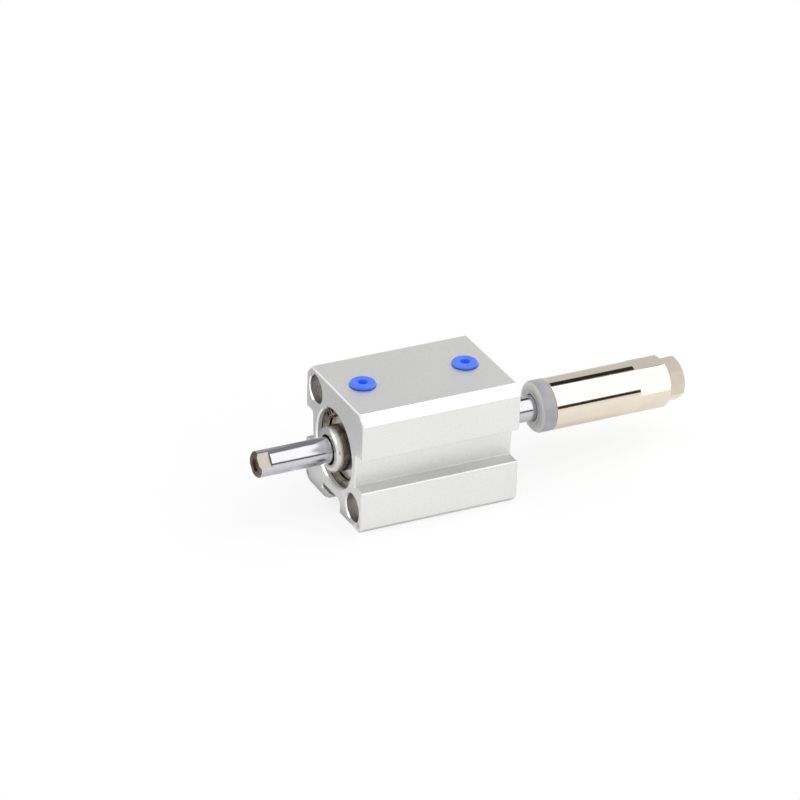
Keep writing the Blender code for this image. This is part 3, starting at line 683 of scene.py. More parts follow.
def sintered_bronze():
    finish = Finish("sintered bronze", Metallic=1.0)
    grain = finish.effect(GRAIN, Size=0.10 * MM)
    finish.colour(grain, (0.42, 0.25, 0.11), (0.60, 0.40, 0.20))
    finish.roughness(grain, 0.35, 0.60)
    finish.bump(grain, 0.6, 0.010 * MM)
    return finish.material


# %% [markdown]
# The soft parts are plain by comparison, but none is one flat colour: urethane is
# slightly cloudy and its end faces are made paler with painted light, rubber has a dry
# bloom, and a moulded plug has the fine grain of its mould. All three keep a soft sheen
# at a grazing angle from the shader itself.

# %% Plastics and rubber
def seal_rubber():
    finish = Finish("seal rubber")
    smudge = finish.effect(HANDLING, Size=1.5 * MM)
    grain = finish.effect(GRAIN, Size=0.08 * MM)
    finish.colour(smudge, (0.012, 0.012, 0.013), (0.030, 0.030, 0.032))
    finish.roughness(grain, 0.50, 0.70)
    finish.bump(grain, 0.3, 0.004 * MM)
    return finish.material


def bumper_urethane():
    finish = Finish("bumper urethane", Subsurface_Weight=0.5, Subsurface_Scale=1.5 * MM,
                    Subsurface_Radius=(1.0, 1.0, 1.0))
    cloud = finish.effect(HANDLING, Size=3 * MM)
    grain = finish.effect(GRAIN, Size=0.10 * MM)
    finish.colour(cloud, (0.37, 0.37, 0.395), (0.42, 0.42, 0.445))
    # painted light: the end faces are made paler, as if the open end lit them more
    finish.lighten(finish.effect(END_FACE), (0.74, 0.74, 0.73))
    finish.roughness(grain, 0.38, 0.52)
    finish.bump(grain, 0.2, 0.004 * MM)
    return finish.material


def plug_blue():
    finish = Finish("plug blue")
    cloud = finish.effect(HANDLING, Size=2.5 * MM)
    grain = finish.effect(GRAIN, Size=0.09 * MM)
    finish.colour(cloud, (0.055, 0.176, 0.88), (0.073, 0.205, 0.94))
    finish.roughness(grain, 0.36, 0.50)
    finish.bump(grain, 0.25, 0.004 * MM)
    return finish.material


ANODISED = anodised("anodised aluminium", 0.9, (0.75, 0.75, 0.745), (0.88, 0.88, 0.87), 0.40, 0.47)
MATT = anodised("matt aluminium", 0.3, (0.75, 0.75, 0.745), (0.88, 0.88, 0.87), 0.50, 0.60)
# a darker copy of the anodised finish for the two inner ledges: painted shade
LEDGE_PAINTED_SHADE = anodised("dusty aluminium", 0.9, (0.58, 0.58, 0.575), (0.68, 0.68, 0.67), 0.46, 0.54)
BORED = bored_aluminium()
TURNED = turned_aluminium("turned aluminium", (0.66, 0.645, 0.62), (0.80, 0.785, 0.76), 0.16, 0.26)
BRIGHT_EDGE = turned_aluminium("bright edge", (0.90, 0.90, 0.89), (0.95, 0.95, 0.94), 0.14, 0.22)
CHROME = hard_chrome()
MILLED = milled_steel("milled steel", (0.42, 0.375, 0.345), (0.50, 0.455, 0.425))
BROWNED = milled_steel("browned steel", (0.13, 0.10, 0.08), (0.22, 0.175, 0.14))
NICKEL = bright_nickel("bright nickel", 0.07, 0.12)
NUT_NICKEL = bright_nickel("nut nickel", 0.32, 0.40)
SPRING_STEEL = spring_steel()
BRONZE = sintered_bronze()
RUBBER = seal_rubber()
URETHANE = bumper_urethane()
BLUE = plug_blue()


def repaint(piece, material, test):
    """Give another material to the faces whose centre and normal pass a test."""
    piece.data.materials.append(material)
    index = len(piece.data.materials) - 1
    count = 0
    for face in piece.data.polygons:
        if test(face.center, face.normal):
            face.material_index = index
            count += 1
    print(piece.name, count, "faces in", material.name)


# %% [markdown]
# The barrel's section carries the whole look of the product: a wide upper part, a side
# channel, two lower edges, and under the far half a rail that a sensor clips to, open
# towards the middle. It is drawn once as corners, each with the radius that the die
# gives it, and extruded. The curve's own bevel chamfers both cut ends.

# %% The barrel's section
TOP_CHAMFER = 2.2 * MM
SHOULDER_HEIGHT = 18.2 * MM
FOOT_HEIGHT = 10.4 * MM
CHANNEL_DEPTH = 3.3 * MM
CHANNEL_LEAN = 0.5 * MM
LUG_WIDTH = 10.9 * MM
LUG_CHAMFER = 1.3 * MM
LUG_FILLET = 0.9 * MM
RAIL_RADIUS = 3.0 * MM
SLOT_ROOF = 3.0 * MM
SLOT_HEIGHT = 1.1 * MM
SLOT_END = 5.6 * MM
LIP_TIP = 0.3 * MM
LIP_OPENING = 0.5 * MM
LIP_LENGTH = 4.6 * MM
DIE_RADIUS = 0.4 * MM
SAW_CHAMFER = 0.30 * MM
ARC_STEP = math.radians(9)


def arc(radius, start, sweep, centre=(0.0, 0.0)):
    """Points along an arc, with both ends."""
    steps = max(1, math.ceil(abs(sweep) / ARC_STEP))
    return [polar(radius, start + sweep * i / steps, centre) for i in range(steps + 1)]


def rounded(corners):
    """An outline from (y, z, radius) corners."""
    outline = []
    for index, (y, z, radius) in enumerate(corners):
        if radius == 0:
            outline.append((y, z))
            continue
        here = Vector((y, z))
        back = (Vector(corners[index - 1][:2]) - here).normalized()
        ahead = (Vector(corners[(index + 1) % len(corners)][:2]) - here).normalized()
        half = back.angle(ahead) / 2
        centre = here + (back + ahead).normalized() * (radius / math.sin(half))
        first = here + back * (radius / math.tan(half)) - centre
        last = here + ahead * (radius / math.tan(half)) - centre
        start = math.atan2(first.y, first.x)
        sweep = math.remainder(math.atan2(last.y, last.x) - start, math.tau)
        outline += arc(radius, start, sweep, centre)
    return outline


def barrel_outline():
    """The section, anticlockwise from the near lower edge, about the axis."""
    half = (barrel_high.y - barrel_low.y) / 2
    top = barrel_high.z - barrel_low.z
    lug_inner = LUG_WIDTH - half
    slot_floor = SLOT_ROOF - SLOT_HEIGHT
    foot_flat = LIP_LENGTH - LIP_TIP
    lip_bend = (foot_flat - LIP_TIP) / 2
    channel_top = half - CHANNEL_DEPTH
    channel_foot = channel_top - CHANNEL_LEAN
    corners = [
        (LUG_CHAMFER - half, 0, 0),
        (lug_inner, 0, DIE_RADIUS),
        (lug_inner, SLOT_ROOF, LUG_FILLET),
        (SLOT_END, SLOT_ROOF, DIE_RADIUS),
        (SLOT_END, slot_floor, DIE_RADIUS),
        (lip_bend, slot_floor, 0),
        (-LIP_TIP, SLOT_ROOF - LIP_OPENING, 0),
        (lip_bend, slot_floor / 2, LIP_OPENING),
        (foot_flat, 0, LIP_OPENING),
        (half, 0, RAIL_RADIUS),
        (half, FOOT_HEIGHT, DIE_RADIUS),
        (channel_foot, FOOT_HEIGHT, DIE_RADIUS),
        (channel_top, SHOULDER_HEIGHT, DIE_RADIUS),
        (half, SHOULDER_HEIGHT, DIE_RADIUS),
        (half, top - TOP_CHAMFER, 0),
        (half - TOP_CHAMFER, top, 0),
        (TOP_CHAMFER - half, top, 0),
        (-half, top - TOP_CHAMFER, 0),
        (-half, SHOULDER_HEIGHT, DIE_RADIUS),
        (-channel_top, SHOULDER_HEIGHT, DIE_RADIUS),
        (-channel_foot, FOOT_HEIGHT, DIE_RADIUS),
        (-half, FOOT_HEIGHT, DIE_RADIUS),
        (-half, LUG_CHAMFER, 0),
    ]
    return [(y, z - AXIS_Z) for y, z in rounded(corners)]


def extruded(name, outlines, start, end, chamfer, material):
    """A (y, z) outline, with holes if it has more than one, extruded along X."""
    curve = bpy.data.curves.new(name, "CURVE")
    curve.dimensions = "2D"
    curve.fill_mode = "BOTH"
    curve.extrude = (end - start) / 2 - chamfer
    curve.bevel_depth = chamfer
    curve.bevel_resolution = 0
    curve.offset = -chamfer
    for outline in outlines:
        spline = curve.splines.new("POLY")
        spline.points.add(len(outline) - 1)
        for point, (y, z) in zip(spline.points, outline):
            point.co = (y, z, 0, 1)
        spline.use_cyclic_u = True
    drawn = linked(name, curve)
    mesh = evaluated_mesh(drawn)
    bpy.data.objects.remove(drawn)
    stand = Matrix.Rotation(math.pi / 2, 4, "Z") @ Matrix.Rotation(math.pi / 2, 4, "X")
    mesh.transform(Matrix.Translation(((start + end) / 2, 0, 0)) @ stand)
    clean(mesh)
    mesh.materials.clear()
    mesh.materials.append(material)
    return linked(name, mesh)


# %% [markdown]
# Into that bar go the machined features: the bore with a wider mouth at each end, a
# groove in each mouth for its snap ring, two long mounting holes on a diagonal, and the
# two air ports on top. One turned cutter makes each, front and rear at once, so its
# profile is mirrored about the middle of the barrel.

# %% Machining the barrel
BORE_RADIUS = 8.0 * MM
MOUTH_RADIUS = 9.1 * MM
MOUTH_DEPTH = 5.5 * MM
MOUTH_CHAMFER = 0.35 * MM
RING_SETBACK = 1.4 * MM
RING_THICKNESS = 1.0 * MM
RING_RADIUS = 9.6 * MM
SIDE_GAP = 0.2 * MM
RUNNING_GAP = 0.1 * MM
COUNTERBORE_RADIUS = 3.25 * MM
COUNTERBORE_DEPTH = 4.6 * MM
HOLE_RADIUS = 2.1 * MM
HOLE_CHAMFER = 0.3 * MM
HOLE_WALL = 0.95 * MM
HOLE_OFFSET = (RING_RADIUS + SIDE_GAP + HOLE_WALL + COUNTERBORE_RADIUS) / math.sqrt(2)
PORT_SETBACK = 6.7 * MM
PORT_RADIUS = 2.1 * MM
PORT_SPOT_RADIUS = 3.1 * MM
PORT_SPOT_DEPTH = 0.3 * MM
M5_RADIUS = 2.5 * MM
M5_PITCH = 0.8 * MM
HOLE_TAP_LENGTH = 8.0 * MM
CUTTER_EDGE = 0.04 * MM


def both_ends(profile):
    """A cutter's profile for the front end, and the same mirrored for the rear."""
    rear = [(BARREL_LENGTH - along, radius) for along, radius in reversed(profile)]
    return [(profile[0][0], 0)] + profile + rear + [(BARREL_LENGTH - profile[0][0], 0)]


def bore_cutter():
    groove = RING_RADIUS + SIDE_GAP
    ring_back = RING_SETBACK + RING_THICKNESS
    return turned("bore", both_ends([
        (-CUT_MARGIN, MOUTH_RADIUS + MOUTH_CHAMFER + CUT_MARGIN),
        (MOUTH_CHAMFER, MOUTH_RADIUS),
        (RING_SETBACK - RUNNING_GAP, MOUTH_RADIUS),
        (RING_SETBACK - RUNNING_GAP, groove),
        (ring_back + RUNNING_GAP, groove),
        (ring_back + RUNNING_GAP, MOUTH_RADIUS),
        (MOUTH_DEPTH, MOUTH_RADIUS),
        (MOUTH_DEPTH, BORE_RADIUS),
    ]), steps=144, edge=CUTTER_EDGE)


def hole_cutter(side):
    """A mounting hole: a counterbore at each end, then a tapped length, then plain."""
    tap_end = COUNTERBORE_DEPTH + HOLE_TAP_LENGTH
    cutter = turned("mounting_hole", both_ends([
        (-CUT_MARGIN, COUNTERBORE_RADIUS + HOLE_CHAMFER + CUT_MARGIN),
        (HOLE_CHAMFER, COUNTERBORE_RADIUS),
        (COUNTERBORE_DEPTH, COUNTERBORE_RADIUS),
        (COUNTERBORE_DEPTH, M5_RADIUS),
        (tap_end, M5_RADIUS),
        (tap_end, HOLE_RADIUS),
    ]), steps=80, edge=CUTTER_EDGE)
    cutter.data.transform(Matrix.Translation((0, side * HOLE_OFFSET, side * HOLE_OFFSET)))
    return cutter


def port_cutter(along):
    top = barrel_high.z - AXIS_Z
    cutter = turned("port", [
        (BORE_RADIUS - CUT_MARGIN, 0),
        (BORE_RADIUS - CUT_MARGIN, M5_RADIUS),
        (top - PORT_SPOT_DEPTH, M5_RADIUS),
        (top - PORT_SPOT_DEPTH, PORT_SPOT_RADIUS),
        (top + CUT_MARGIN, PORT_SPOT_RADIUS),
        (top + CUT_MARGIN, 0),
    ], steps=80, edge=CUTTER_EDGE, upright=True)
    cutter.data.transform(Matrix.Translation((along, 0, 0)))
    return cutter


PORT_PLACES = {"front": PORT_SETBACK, "rear": BARREL_LENGTH - PORT_SETBACK}
barrel = extruded("barrel_extrusion", [barrel_outline()], 0, BARREL_LENGTH, SAW_CHAMFER, ANODISED)
cut(barrel, bore_cutter(), hole_cutter(1), hole_cutter(-1))
cut(barrel, *[port_cutter(along) for along in PORT_PLACES.values()])
barrel = finished(barrel, FRONT_PLACE, "barrel", "anodised_barrel", "barrel")


CHAMFER_FACING = (0.3, 0.95)   # least and most of a chamfer's normal along the axis
LEDGE_FACING = 0.9             # least of a ledge's normal that points up
FILLET_FACING = 0.2            # and of its fillet's


def depth_of(centre):
    return min(centre.x - FRONT_X, barrel_high.x - centre.x)


def in_the_bore(centre, normal):
    """The honed bore, behind both mouths."""
    radius = math.hypot(centre.y, centre.z - AXIS_Z)
    return depth_of(centre) > MOUTH_DEPTH - RUNNING_GAP and radius < MOUTH_RADIUS + RUNNING_GAP


def in_a_mouth(centre, normal):
    """The walls of both mouths and of the snap rings' grooves."""
    radius = math.hypot(centre.y, centre.z - AXIS_Z)
    inside = MOUTH_CHAMFER < depth_of(centre) < MOUTH_DEPTH
    return inside and radius < RING_RADIUS + 2 * SIDE_GAP


def away_from_holes(centre):
    y, z = centre.y, centre.z - AXIS_Z
    return min(math.hypot(y - way * HOLE_OFFSET, z - way * HOLE_OFFSET) for way in (1, -1))


def in_a_hole(centre, normal):
    """Faces of the mounting holes, but not their chamfers."""
    away = away_from_holes(centre)
    return depth_of(centre) > HOLE_CHAMFER and away < COUNTERBORE_RADIUS + SIDE_GAP / 2


def on_a_cut_edge(centre, normal):
    """The chamfers round the mouths and the holes, cut after the anodising."""
    radius = math.hypot(centre.y, centre.z - AXIS_Z)
    at_mouth = MOUTH_RADIUS < radius < MOUTH_RADIUS + 2 * MOUTH_CHAMFER
    at_hole = away_from_holes(centre) < COUNTERBORE_RADIUS + 2 * HOLE_CHAMFER
    least, most = CHAMFER_FACING
    sloping = least < abs(normal.x) < most
    return depth_of(centre) < MOUTH_CHAMFER and sloping and (at_mouth or at_hole)


def on_a_ledge(centre, normal):
    """The tops of the foot and the rail, inside both side channels, with their inner fillet."""
    rise = centre.z - FOOT_HEIGHT
    top_face = normal.z > LEDGE_FACING and abs(rise) < DIE_RADIUS
    return top_face or (0 < rise < DIE_RADIUS and FILLET_FACING < normal.z <= LEDGE_FACING)


# the ledges and their inner fillets take the darker copy, a painted shade
repaint(barrel, LEDGE_PAINTED_SHADE, on_a_ledge)
repaint(barrel, TURNED, in_the_bore)
repaint(barrel, MATT, in_a_mouth)
repaint(barrel, BORED, in_a_hole)
repaint(barrel, BRIGHT_EDGE, on_a_cut_edge)

# %% [markdown]
# The tapped lengths get their real threads: M5 in both ports and behind each
# counterbore, from the thread tree with the ridge pointing inwards.

# %% Threads in the barrel
THREAD_LEAD = 0.4 * MM    # how far a tapped length starts behind its mouth


def tapped(name, place, foot, crest, pitch, length, body, slot, material):
    """An inside thread, its mouth at the place's origin, running along its X axis."""
    ridge = threaded(name, foot, crest - foot, pitch, length - THREAD_LEAD, material)
    ridge.data.transform(Matrix.Translation((THREAD_LEAD, 0, 0)))
    return finished(ridge, place, body, slot)


for side, label in ((1, "far_top"), (-1, "near_foot")):
    offset = Matrix.Translation((COUNTERBORE_DEPTH, side * HOLE_OFFSET, side * HOLE_OFFSET))
    tapped(f"{label}_front_thread", FRONT_PLACE @ offset, M5_RADIUS, HOLE_RADIUS, M5_PITCH,
           HOLE_TAP_LENGTH, "barrel", "anodised_barrel", BORED)
    offset = Matrix.Translation((COUNTERBORE_DEPTH, -side * HOLE_OFFSET, side * HOLE_OFFSET))
    tapped(f"{label}_rear_thread", REAR_PLACE @ offset, M5_RADIUS, HOLE_RADIUS, M5_PITCH,
           HOLE_TAP_LENGTH, "barrel", "anodised_barrel", BORED)

port_floor = barrel_high.z - AXIS_Z - PORT_SPOT_DEPTH
POINT_DOWN = Matrix.Rotation(math.pi / 2, 4, "Y")
for label, along in PORT_PLACES.items():
    mouth = Matrix.Translation((along, 0, port_floor)) @ POINT_DOWN
    tapped(f"{label}_port_thread", FRONT_PLACE @ mouth, M5_RADIUS, PORT_RADIUS, M5_PITCH,
           port_floor - BORE_RADIUS, "barrel", "anodised_barrel", BORED)

# %% [markdown]
# A cover is one turned piece: a flange that the snap ring holds in the mouth, a groove
# for its seal, and a boss round the rod. The same profile serves both ends.

# %% Covers and their snap rings
ROD_RADIUS = 3.0 * MM
SEAT_GAP = 0.3 * MM
BOSS_RADIUS = 5.3 * MM
BOSS_HEIGHT = 1.5 * MM
BOSS_CHAMFER = 0.45 * MM
BOSS_LEAD = 0.10 * MM      # the boss narrows by this much towards its chamfer
NOSE_RADIUS = 6.8 * MM
COVER_REACH = 6.0 * MM
FLANGE_FRONT = RING_SETBACK + RING_THICKNESS + SEAT_GAP
FLANGE_BACK = MOUTH_DEPTH - SEAT_GAP
COVER_SEAL_SECTION = 1.0 * MM
LIP_WALL = 0.8 * MM
LIP_GAP = 0.5 * MM
ROD_SEAL_RADIUS = 4.1 * MM
ROD_SEAL_WALL = 1.0 * MM
ROD_SEAL_LENGTH = 1.8 * MM
ROD_SEAL_NOTCH = 0.9 * MM
BUSH_RADIUS = 4.0 * MM
BUSH_LENGTH = 3.6 * MM
PAD_RADIUS = 6.1 * MM
PAD_HOLE_RADIUS = 4.9 * MM
PAD_SEATED = 0.6 * MM


def make_cover(name):
    flange = MOUTH_RADIUS - SIDE_GAP
    groove = flange - COVER_SEAL_SECTION - SIDE_GAP
    middle = (FLANGE_FRONT + FLANGE_BACK) / 2
    half_groove = COVER_SEAL_SECTION / 2 + SIDE_GAP
    lip = ROD_RADIUS + LIP_GAP
    seal_front = LIP_WALL - BOSS_HEIGHT
    seal_back = seal_front + ROD_SEAL_LENGTH + 2 * SIDE_GAP
    seal_seat = ROD_SEAL_RADIUS + SIDE_GAP
    bush_seat = BUSH_RADIUS + RUNNING_GAP
    bush_front = COVER_REACH - BUSH_LENGTH - SIDE_GAP
    pad_floor = COVER_REACH - PAD_SEATED - SIDE_GAP
    return turned(name, [
        (-BOSS_HEIGHT, lip),
        (-BOSS_HEIGHT, BOSS_RADIUS - BOSS_LEAD - BOSS_CHAMFER),
        (BOSS_CHAMFER - BOSS_HEIGHT, BOSS_RADIUS - BOSS_LEAD),
        (0, BOSS_RADIUS),
        (FLANGE_FRONT, BOSS_RADIUS),
        (FLANGE_FRONT, flange),
        (middle - half_groove, flange),
        (middle - half_groove, groove),
        (middle + half_groove, groove),
        (middle + half_groove, flange),
        (FLANGE_BACK, flange),
        (FLANGE_BACK, NOSE_RADIUS),
        (COVER_REACH, NOSE_RADIUS),
        (COVER_REACH, PAD_RADIUS + SIDE_GAP),
        (pad_floor, PAD_RADIUS + SIDE_GAP),
        (pad_floor, PAD_HOLE_RADIUS - SIDE_GAP),
        (COVER_REACH, PAD_HOLE_RADIUS - SIDE_GAP),
        (COVER_REACH, bush_seat),
        (bush_front, bush_seat),
        (bush_front, lip),
        (seal_back, lip),
        (seal_back, seal_seat),
        (seal_front, seal_seat),
        (seal_front, lip),
    ], TURNED, steps=128, edge=0.06 * MM)


def make_rod_seal(name):
    """A lip seal: its notch opens towards the pressure, so pressure spreads the lips."""
    front = LIP_WALL - BOSS_HEIGHT + SIDE_GAP
    back = front + ROD_SEAL_LENGTH
    outer = ROD_SEAL_RADIUS
    inner = outer - ROD_SEAL_WALL
    lip = ROD_SEAL_WALL / 4
    return turned(name, [
        (front, inner),
        (front, outer),
        (back, outer),
        (back, outer - lip),
        (back - ROD_SEAL_NOTCH, (outer + inner) / 2),
        (back, inner + lip),
        (back, inner),
    ], RUBBER, steps=96, edge=0.10 * MM)


# %% [markdown]
# An internal snap ring is stamped from strip. Its two ears carry the holes for the
# pliers, and squeezing them together makes the ring small enough to leave its groove.

# %% The snap rings
RING_WIDTH = 1.9 * MM
EAR_CLEARANCE = 1.85 * MM
EAR_HOLE = 1.2 * MM
EAR_WIDTH = 2.1 * MM
EAR_ANGLE = math.radians(9.5)
EAR_ROUND = math.radians(60)
GAP_ANGLE = math.radians(50)
STAMPED_EDGE = 0.07 * MM


def make_snap_ring(name):
    inner = RING_RADIUS - RING_WIDTH
    ear_centre = BOSS_RADIUS + EAR_CLEARANCE + EAR_WIDTH / 2
    gap_side = EAR_ANGLE - EAR_WIDTH / 2 / ear_centre
    ear_end = EAR_ANGLE + math.asin(EAR_WIDTH / 2 / inner)

    def ear(sign):
        centre = polar(ear_centre, sign * EAR_ANGLE)
        start = sign * EAR_ANGLE + math.pi + sign * EAR_ROUND
        return arc(EAR_WIDTH / 2, start, -2 * sign * EAR_ROUND, centre)

    outline = arc(RING_RADIUS, gap_side, math.tau - 2 * gap_side)
    outline += ear(-1)
    outline += arc(inner, math.tau - ear_end, 2 * ear_end - math.tau)
    outline += list(reversed(ear(1)))
    holes = []
    for sign in (1, -1):
        centre = polar(ear_centre, sign * EAR_ANGLE)
        holes.append(arc(EAR_HOLE / 2, 0, -math.tau, centre)[:-1])
    ring_back = RING_SETBACK + RING_THICKNESS
    ring = extruded(name, [outline] + holes, RING_SETBACK, ring_back, STAMPED_EDGE, SPRING_STEEL)
    ring.data.transform(Matrix.Rotation(GAP_ANGLE, 4, "X"))
    return ring


for side, place in (("front", FRONT_PLACE), ("rear", REAR_PLACE)):
    finished(make_cover(f"{side}_cover_turned"), place, "barrel", "cover_alloy", f"{side}_cover")
    finished(make_rod_seal(f"{side}_lip_seal"), place, "barrel", "seal_rubber", f"{side}_rod_seal")
    ring = make_snap_ring(f"{side}_circlip")
    finished(ring, place, "barrel", "spring_steel", f"{side}_snap_ring")

# %% [markdown]
# The rod is really two: the front rod's spigot goes through the piston and screws into
# the rear rod. The front end has an M3 thread and two flats for a spanner, where the
# mill has gone through the chrome. The rear end carries the M6 x 1 thread on which the
# adjuster travels: a core at the thread's depth, with the ridge wound round it.

# %% The two rods
ROD_CHAMFER = 0.4 * MM
SPIGOT_RADIUS = 2.0 * MM
FLATS_ACROSS = 4.8 * MM
FLATS_LENGTH = 2.9 * MM
FLATS_ANGLE = math.radians(138)
M3_RADIUS = 1.5 * MM
M3_CREST = 1.25 * MM
M3_PITCH = 0.5 * MM
COUNTERSINK_RADIUS = 1.6 * MM
ROD_HOLE_DEPTH = 8.0 * MM
DRILL_POINT = math.radians(59)
SPIGOT_HOLE_RADIUS = SPIGOT_RADIUS + 0.15 * MM
SPIGOT_HOLE_DEPTH = 5.3 * MM
M6_CORE = 2.40 * MM
M6_CREST = 2.95 * MM
M6_PITCH = 1.0 * MM
THREAD_RUN_OUT = 0.8 * MM
THREAD_START = 61.15 * MM
FLAT_FACING = 0.95        # least of a spanner flat's normal that is square to the flat
SHOULDER_FACING = 0.5     # least of the end's and the shoulder's normal that points forwards


def rod_place(along):
    return FRONT_PLACE @ Matrix.Translation((along, 0, 0))


_, spigot_back = from_front("front_rod")
front_rod = turned("front_rod_ground", [
    (ROD_HOLE_DEPTH + M3_RADIUS / math.tan(DRILL_POINT), 0),
    (ROD_HOLE_DEPTH, M3_RADIUS),
    (COUNTERSINK_RADIUS - M3_RADIUS, M3_RADIUS),
    (0, COUNTERSINK_RADIUS),
    (0, ROD_RADIUS - ROD_CHAMFER),
    (ROD_CHAMFER, ROD_RADIUS),
    (PISTON_FRONT - SEAT_GAP - ROD_TIP, ROD_RADIUS),
    (PISTON_FRONT - SEAT_GAP - ROD_TIP, SPIGOT_RADIUS),
    (spigot_back - ROD_TIP, SPIGOT_RADIUS),
    (spigot_back - ROD_TIP, 0),
], CHROME, steps=128, edge=0.05 * MM)
mill_flats(front_rod, FLATS_ACROSS, -CUT_MARGIN, FLATS_LENGTH, 2, FLATS_ANGLE)
front_rod = finished(front_rod, rod_place(ROD_TIP), "rod", "hard_chrome", "front_rod")


def on_a_flat(centre, normal):
    """The two spanner flats, where the mill went through the chrome."""
    y, z = polar(1.0, FLATS_ANGLE)
    across = abs(centre.y * y + (centre.z - AXIS_Z) * z)
    facing = abs(normal.y * y + normal.z * z)
    depth = centre.x - FRONT_X - ROD_TIP
    return depth < FLATS_LENGTH and across < FLATS_ACROSS / 2 + CUTTER_EDGE and facing > FLAT_FACING


def on_the_end(centre, normal):
    """The end face, the tapped hole, and the shoulder that the mill left."""
    radius = math.hypot(centre.y, centre.z - AXIS_Z)
    depth = centre.x - FRONT_X - ROD_TIP
    in_hole = radius < COUNTERSINK_RADIUS and depth < ROD_HOLE_DEPTH + M3_RADIUS
    return in_hole or (normal.x < -SHOULDER_FACING and depth < FLATS_LENGTH + CUTTER_EDGE)


repaint(front_rod, MILLED, on_a_flat)
repaint(front_rod, BROWNED, on_the_end)
tapped("rod_end_thread", rod_place(ROD_TIP), M3_RADIUS, M3_CREST, M3_PITCH,
       ROD_HOLE_DEPTH - M3_RADIUS, "rod", "hard_chrome", BROWNED)

rear_start, _ = from_front("rear_rod")
rear_rod = turned("rear_rod_ground", [
    (PISTON_BACK + SPIGOT_HOLE_DEPTH, 0),
    (PISTON_BACK + SPIGOT_HOLE_DEPTH, SPIGOT_HOLE_RADIUS),
    (rear_start, SPIGOT_HOLE_RADIUS),
    (rear_start, ROD_RADIUS),
    (THREAD_START - THREAD_RUN_OUT, ROD_RADIUS),
    (THREAD_START - THREAD_RUN_OUT, M6_CORE),
    (ROD_BACK - ROD_CHAMFER, M6_CORE),
    (ROD_BACK, M6_CORE - ROD_CHAMFER / 2),
    (ROD_BACK, 0),
], CHROME, steps=128, edge=0.05 * MM)
rear_rod = finished(rear_rod, FRONT_PLACE, "rod", "hard_chrome", "rear_rod")
repaint(rear_rod, MILLED, lambda centre, normal: centre.x - FRONT_X > THREAD_START - THREAD_RUN_OUT)
rear_thread = threaded("rod_thread", M6_CORE, M6_CREST - M6_CORE, M6_PITCH,
                       ROD_BACK - THREAD_START - RUNNING_GAP, MILLED)
finished(rear_thread, rod_place(THREAD_START), "rod", "hard_chrome")

# %% [markdown]
# The adjuster: a soft bumper pressed into a long nickel-plated sleeve, and a lock nut
# behind it. Both hexagons are milled out of round stock, so each keeps the round
# chamfer at its corners, and a last small bevel takes the burr off the milled edges.

# %% The adjuster
SLEEVE_RADIUS = 6.0 * MM
SLEEVE_CHAMFER = 0.4 * MM
SLEEVE_HEX_ACROSS = 11.0 * MM
SLEEVE_HEX_LENGTH = 8.0 * MM
SLEEVE_HEX_ANGLE = math.radians(90)
SLEEVE_THREAD_LENGTH = 11.0 * MM
SLEEVE_BORE = 3.3 * MM
THREAD_BORE = 3.05 * MM
BUMPER_THICKNESS = 3.5 * MM
BUMPER_ROUND = 1.0 * MM
BUMPER_GROOVE = 0.3 * MM
BUMPER_NECK_LENGTH = 2.4 * MM
BUMPER_NECK_RADIUS = 4.3 * MM
BUMPER_BORE = 3.15 * MM
BUMPER_LIP = 0.3 * MM
NUT_ACROSS = 9.0 * MM
NUT_CORNER_CUT = 0.65 * MM
NUT_ANGLE = math.radians(166.5)
BURR = 0.07 * MM
MILLED_EDGE = math.radians(24)     # an edge that turns by more than this is broken


def deburr(obj):
    """Break every edge that is still hard after milling."""
    bevel = obj.modifiers.new("deburr", "BEVEL")
    bevel.width = BURR
    bevel.segments = EDGE_STEPS
    bevel.limit_method = "ANGLE"
    bevel.angle_limit = MILLED_EDGE
    bevel.use_clamp_overlap = True
    bevel.harden_normals = False
    return obj


lip_edge = BUMPER_BORE + BUMPER_LIP
bumper = turned("bumper_moulded", [
    (0, BUMPER_BORE),
    (0, lip_edge),
    (BUMPER_GROOVE, lip_edge + BUMPER_GROOVE / 2),
    (BUMPER_GROOVE, lip_edge + BUMPER_GROOVE),
    (BUMPER_GROOVE / 3, lip_edge + 3 * BUMPER_GROOVE),
    *arc(BUMPER_ROUND, math.pi, -math.pi / 2,
         (BUMPER_GROOVE / 3 + BUMPER_ROUND, SLEEVE_RADIUS - BUMPER_ROUND)),
    (BUMPER_THICKNESS, SLEEVE_RADIUS),
    (BUMPER_THICKNESS, BUMPER_NECK_RADIUS),
    (BUMPER_THICKNESS + BUMPER_NECK_LENGTH, BUMPER_NECK_RADIUS),
    (BUMPER_THICKNESS + BUMPER_NECK_LENGTH, BUMPER_BORE),
], URETHANE, steps=128, edge=0.06 * MM)
finished(bumper, rod_place(BUMPER_FRONT), "bumper", "grey_urethane", "adjuster_bumper")

seat = BUMPER_NECK_RADIUS + RUNNING_GAP
sleeve_length = SLEEVE_BACK - SLEEVE_FRONT
sleeve = turned("sleeve_turned", [
    (0, seat),
    (0, SLEEVE_RADIUS - BURR),
    (BURR, SLEEVE_RADIUS),
    (sleeve_length - SLEEVE_CHAMFER, SLEEVE_RADIUS),
    (sleeve_length, SLEEVE_RADIUS - SLEEVE_CHAMFER),
    (sleeve_length, THREAD_BORE + SLEEVE_CHAMFER),
    (sleeve_length - SLEEVE_CHAMFER, THREAD_BORE),
    (sleeve_length - SLEEVE_THREAD_LENGTH, THREAD_BORE),
    (sleeve_length - SLEEVE_THREAD_LENGTH, SLEEVE_BORE),
    (BUMPER_NECK_LENGTH + SEAT_GAP, SLEEVE_BORE),
    (BUMPER_NECK_LENGTH + SEAT_GAP, seat),
], NICKEL, steps=160, edge=0.05 * MM)
mill_flats(sleeve, SLEEVE_HEX_ACROSS, sleeve_length - SLEEVE_HEX_LENGTH,
           sleeve_length + CUT_MARGIN, 6, SLEEVE_HEX_ANGLE)
deburr(sleeve)
finished(sleeve, rod_place(SLEEVE_FRONT), "sleeve", "nickel_steel", "adjuster_sleeve")

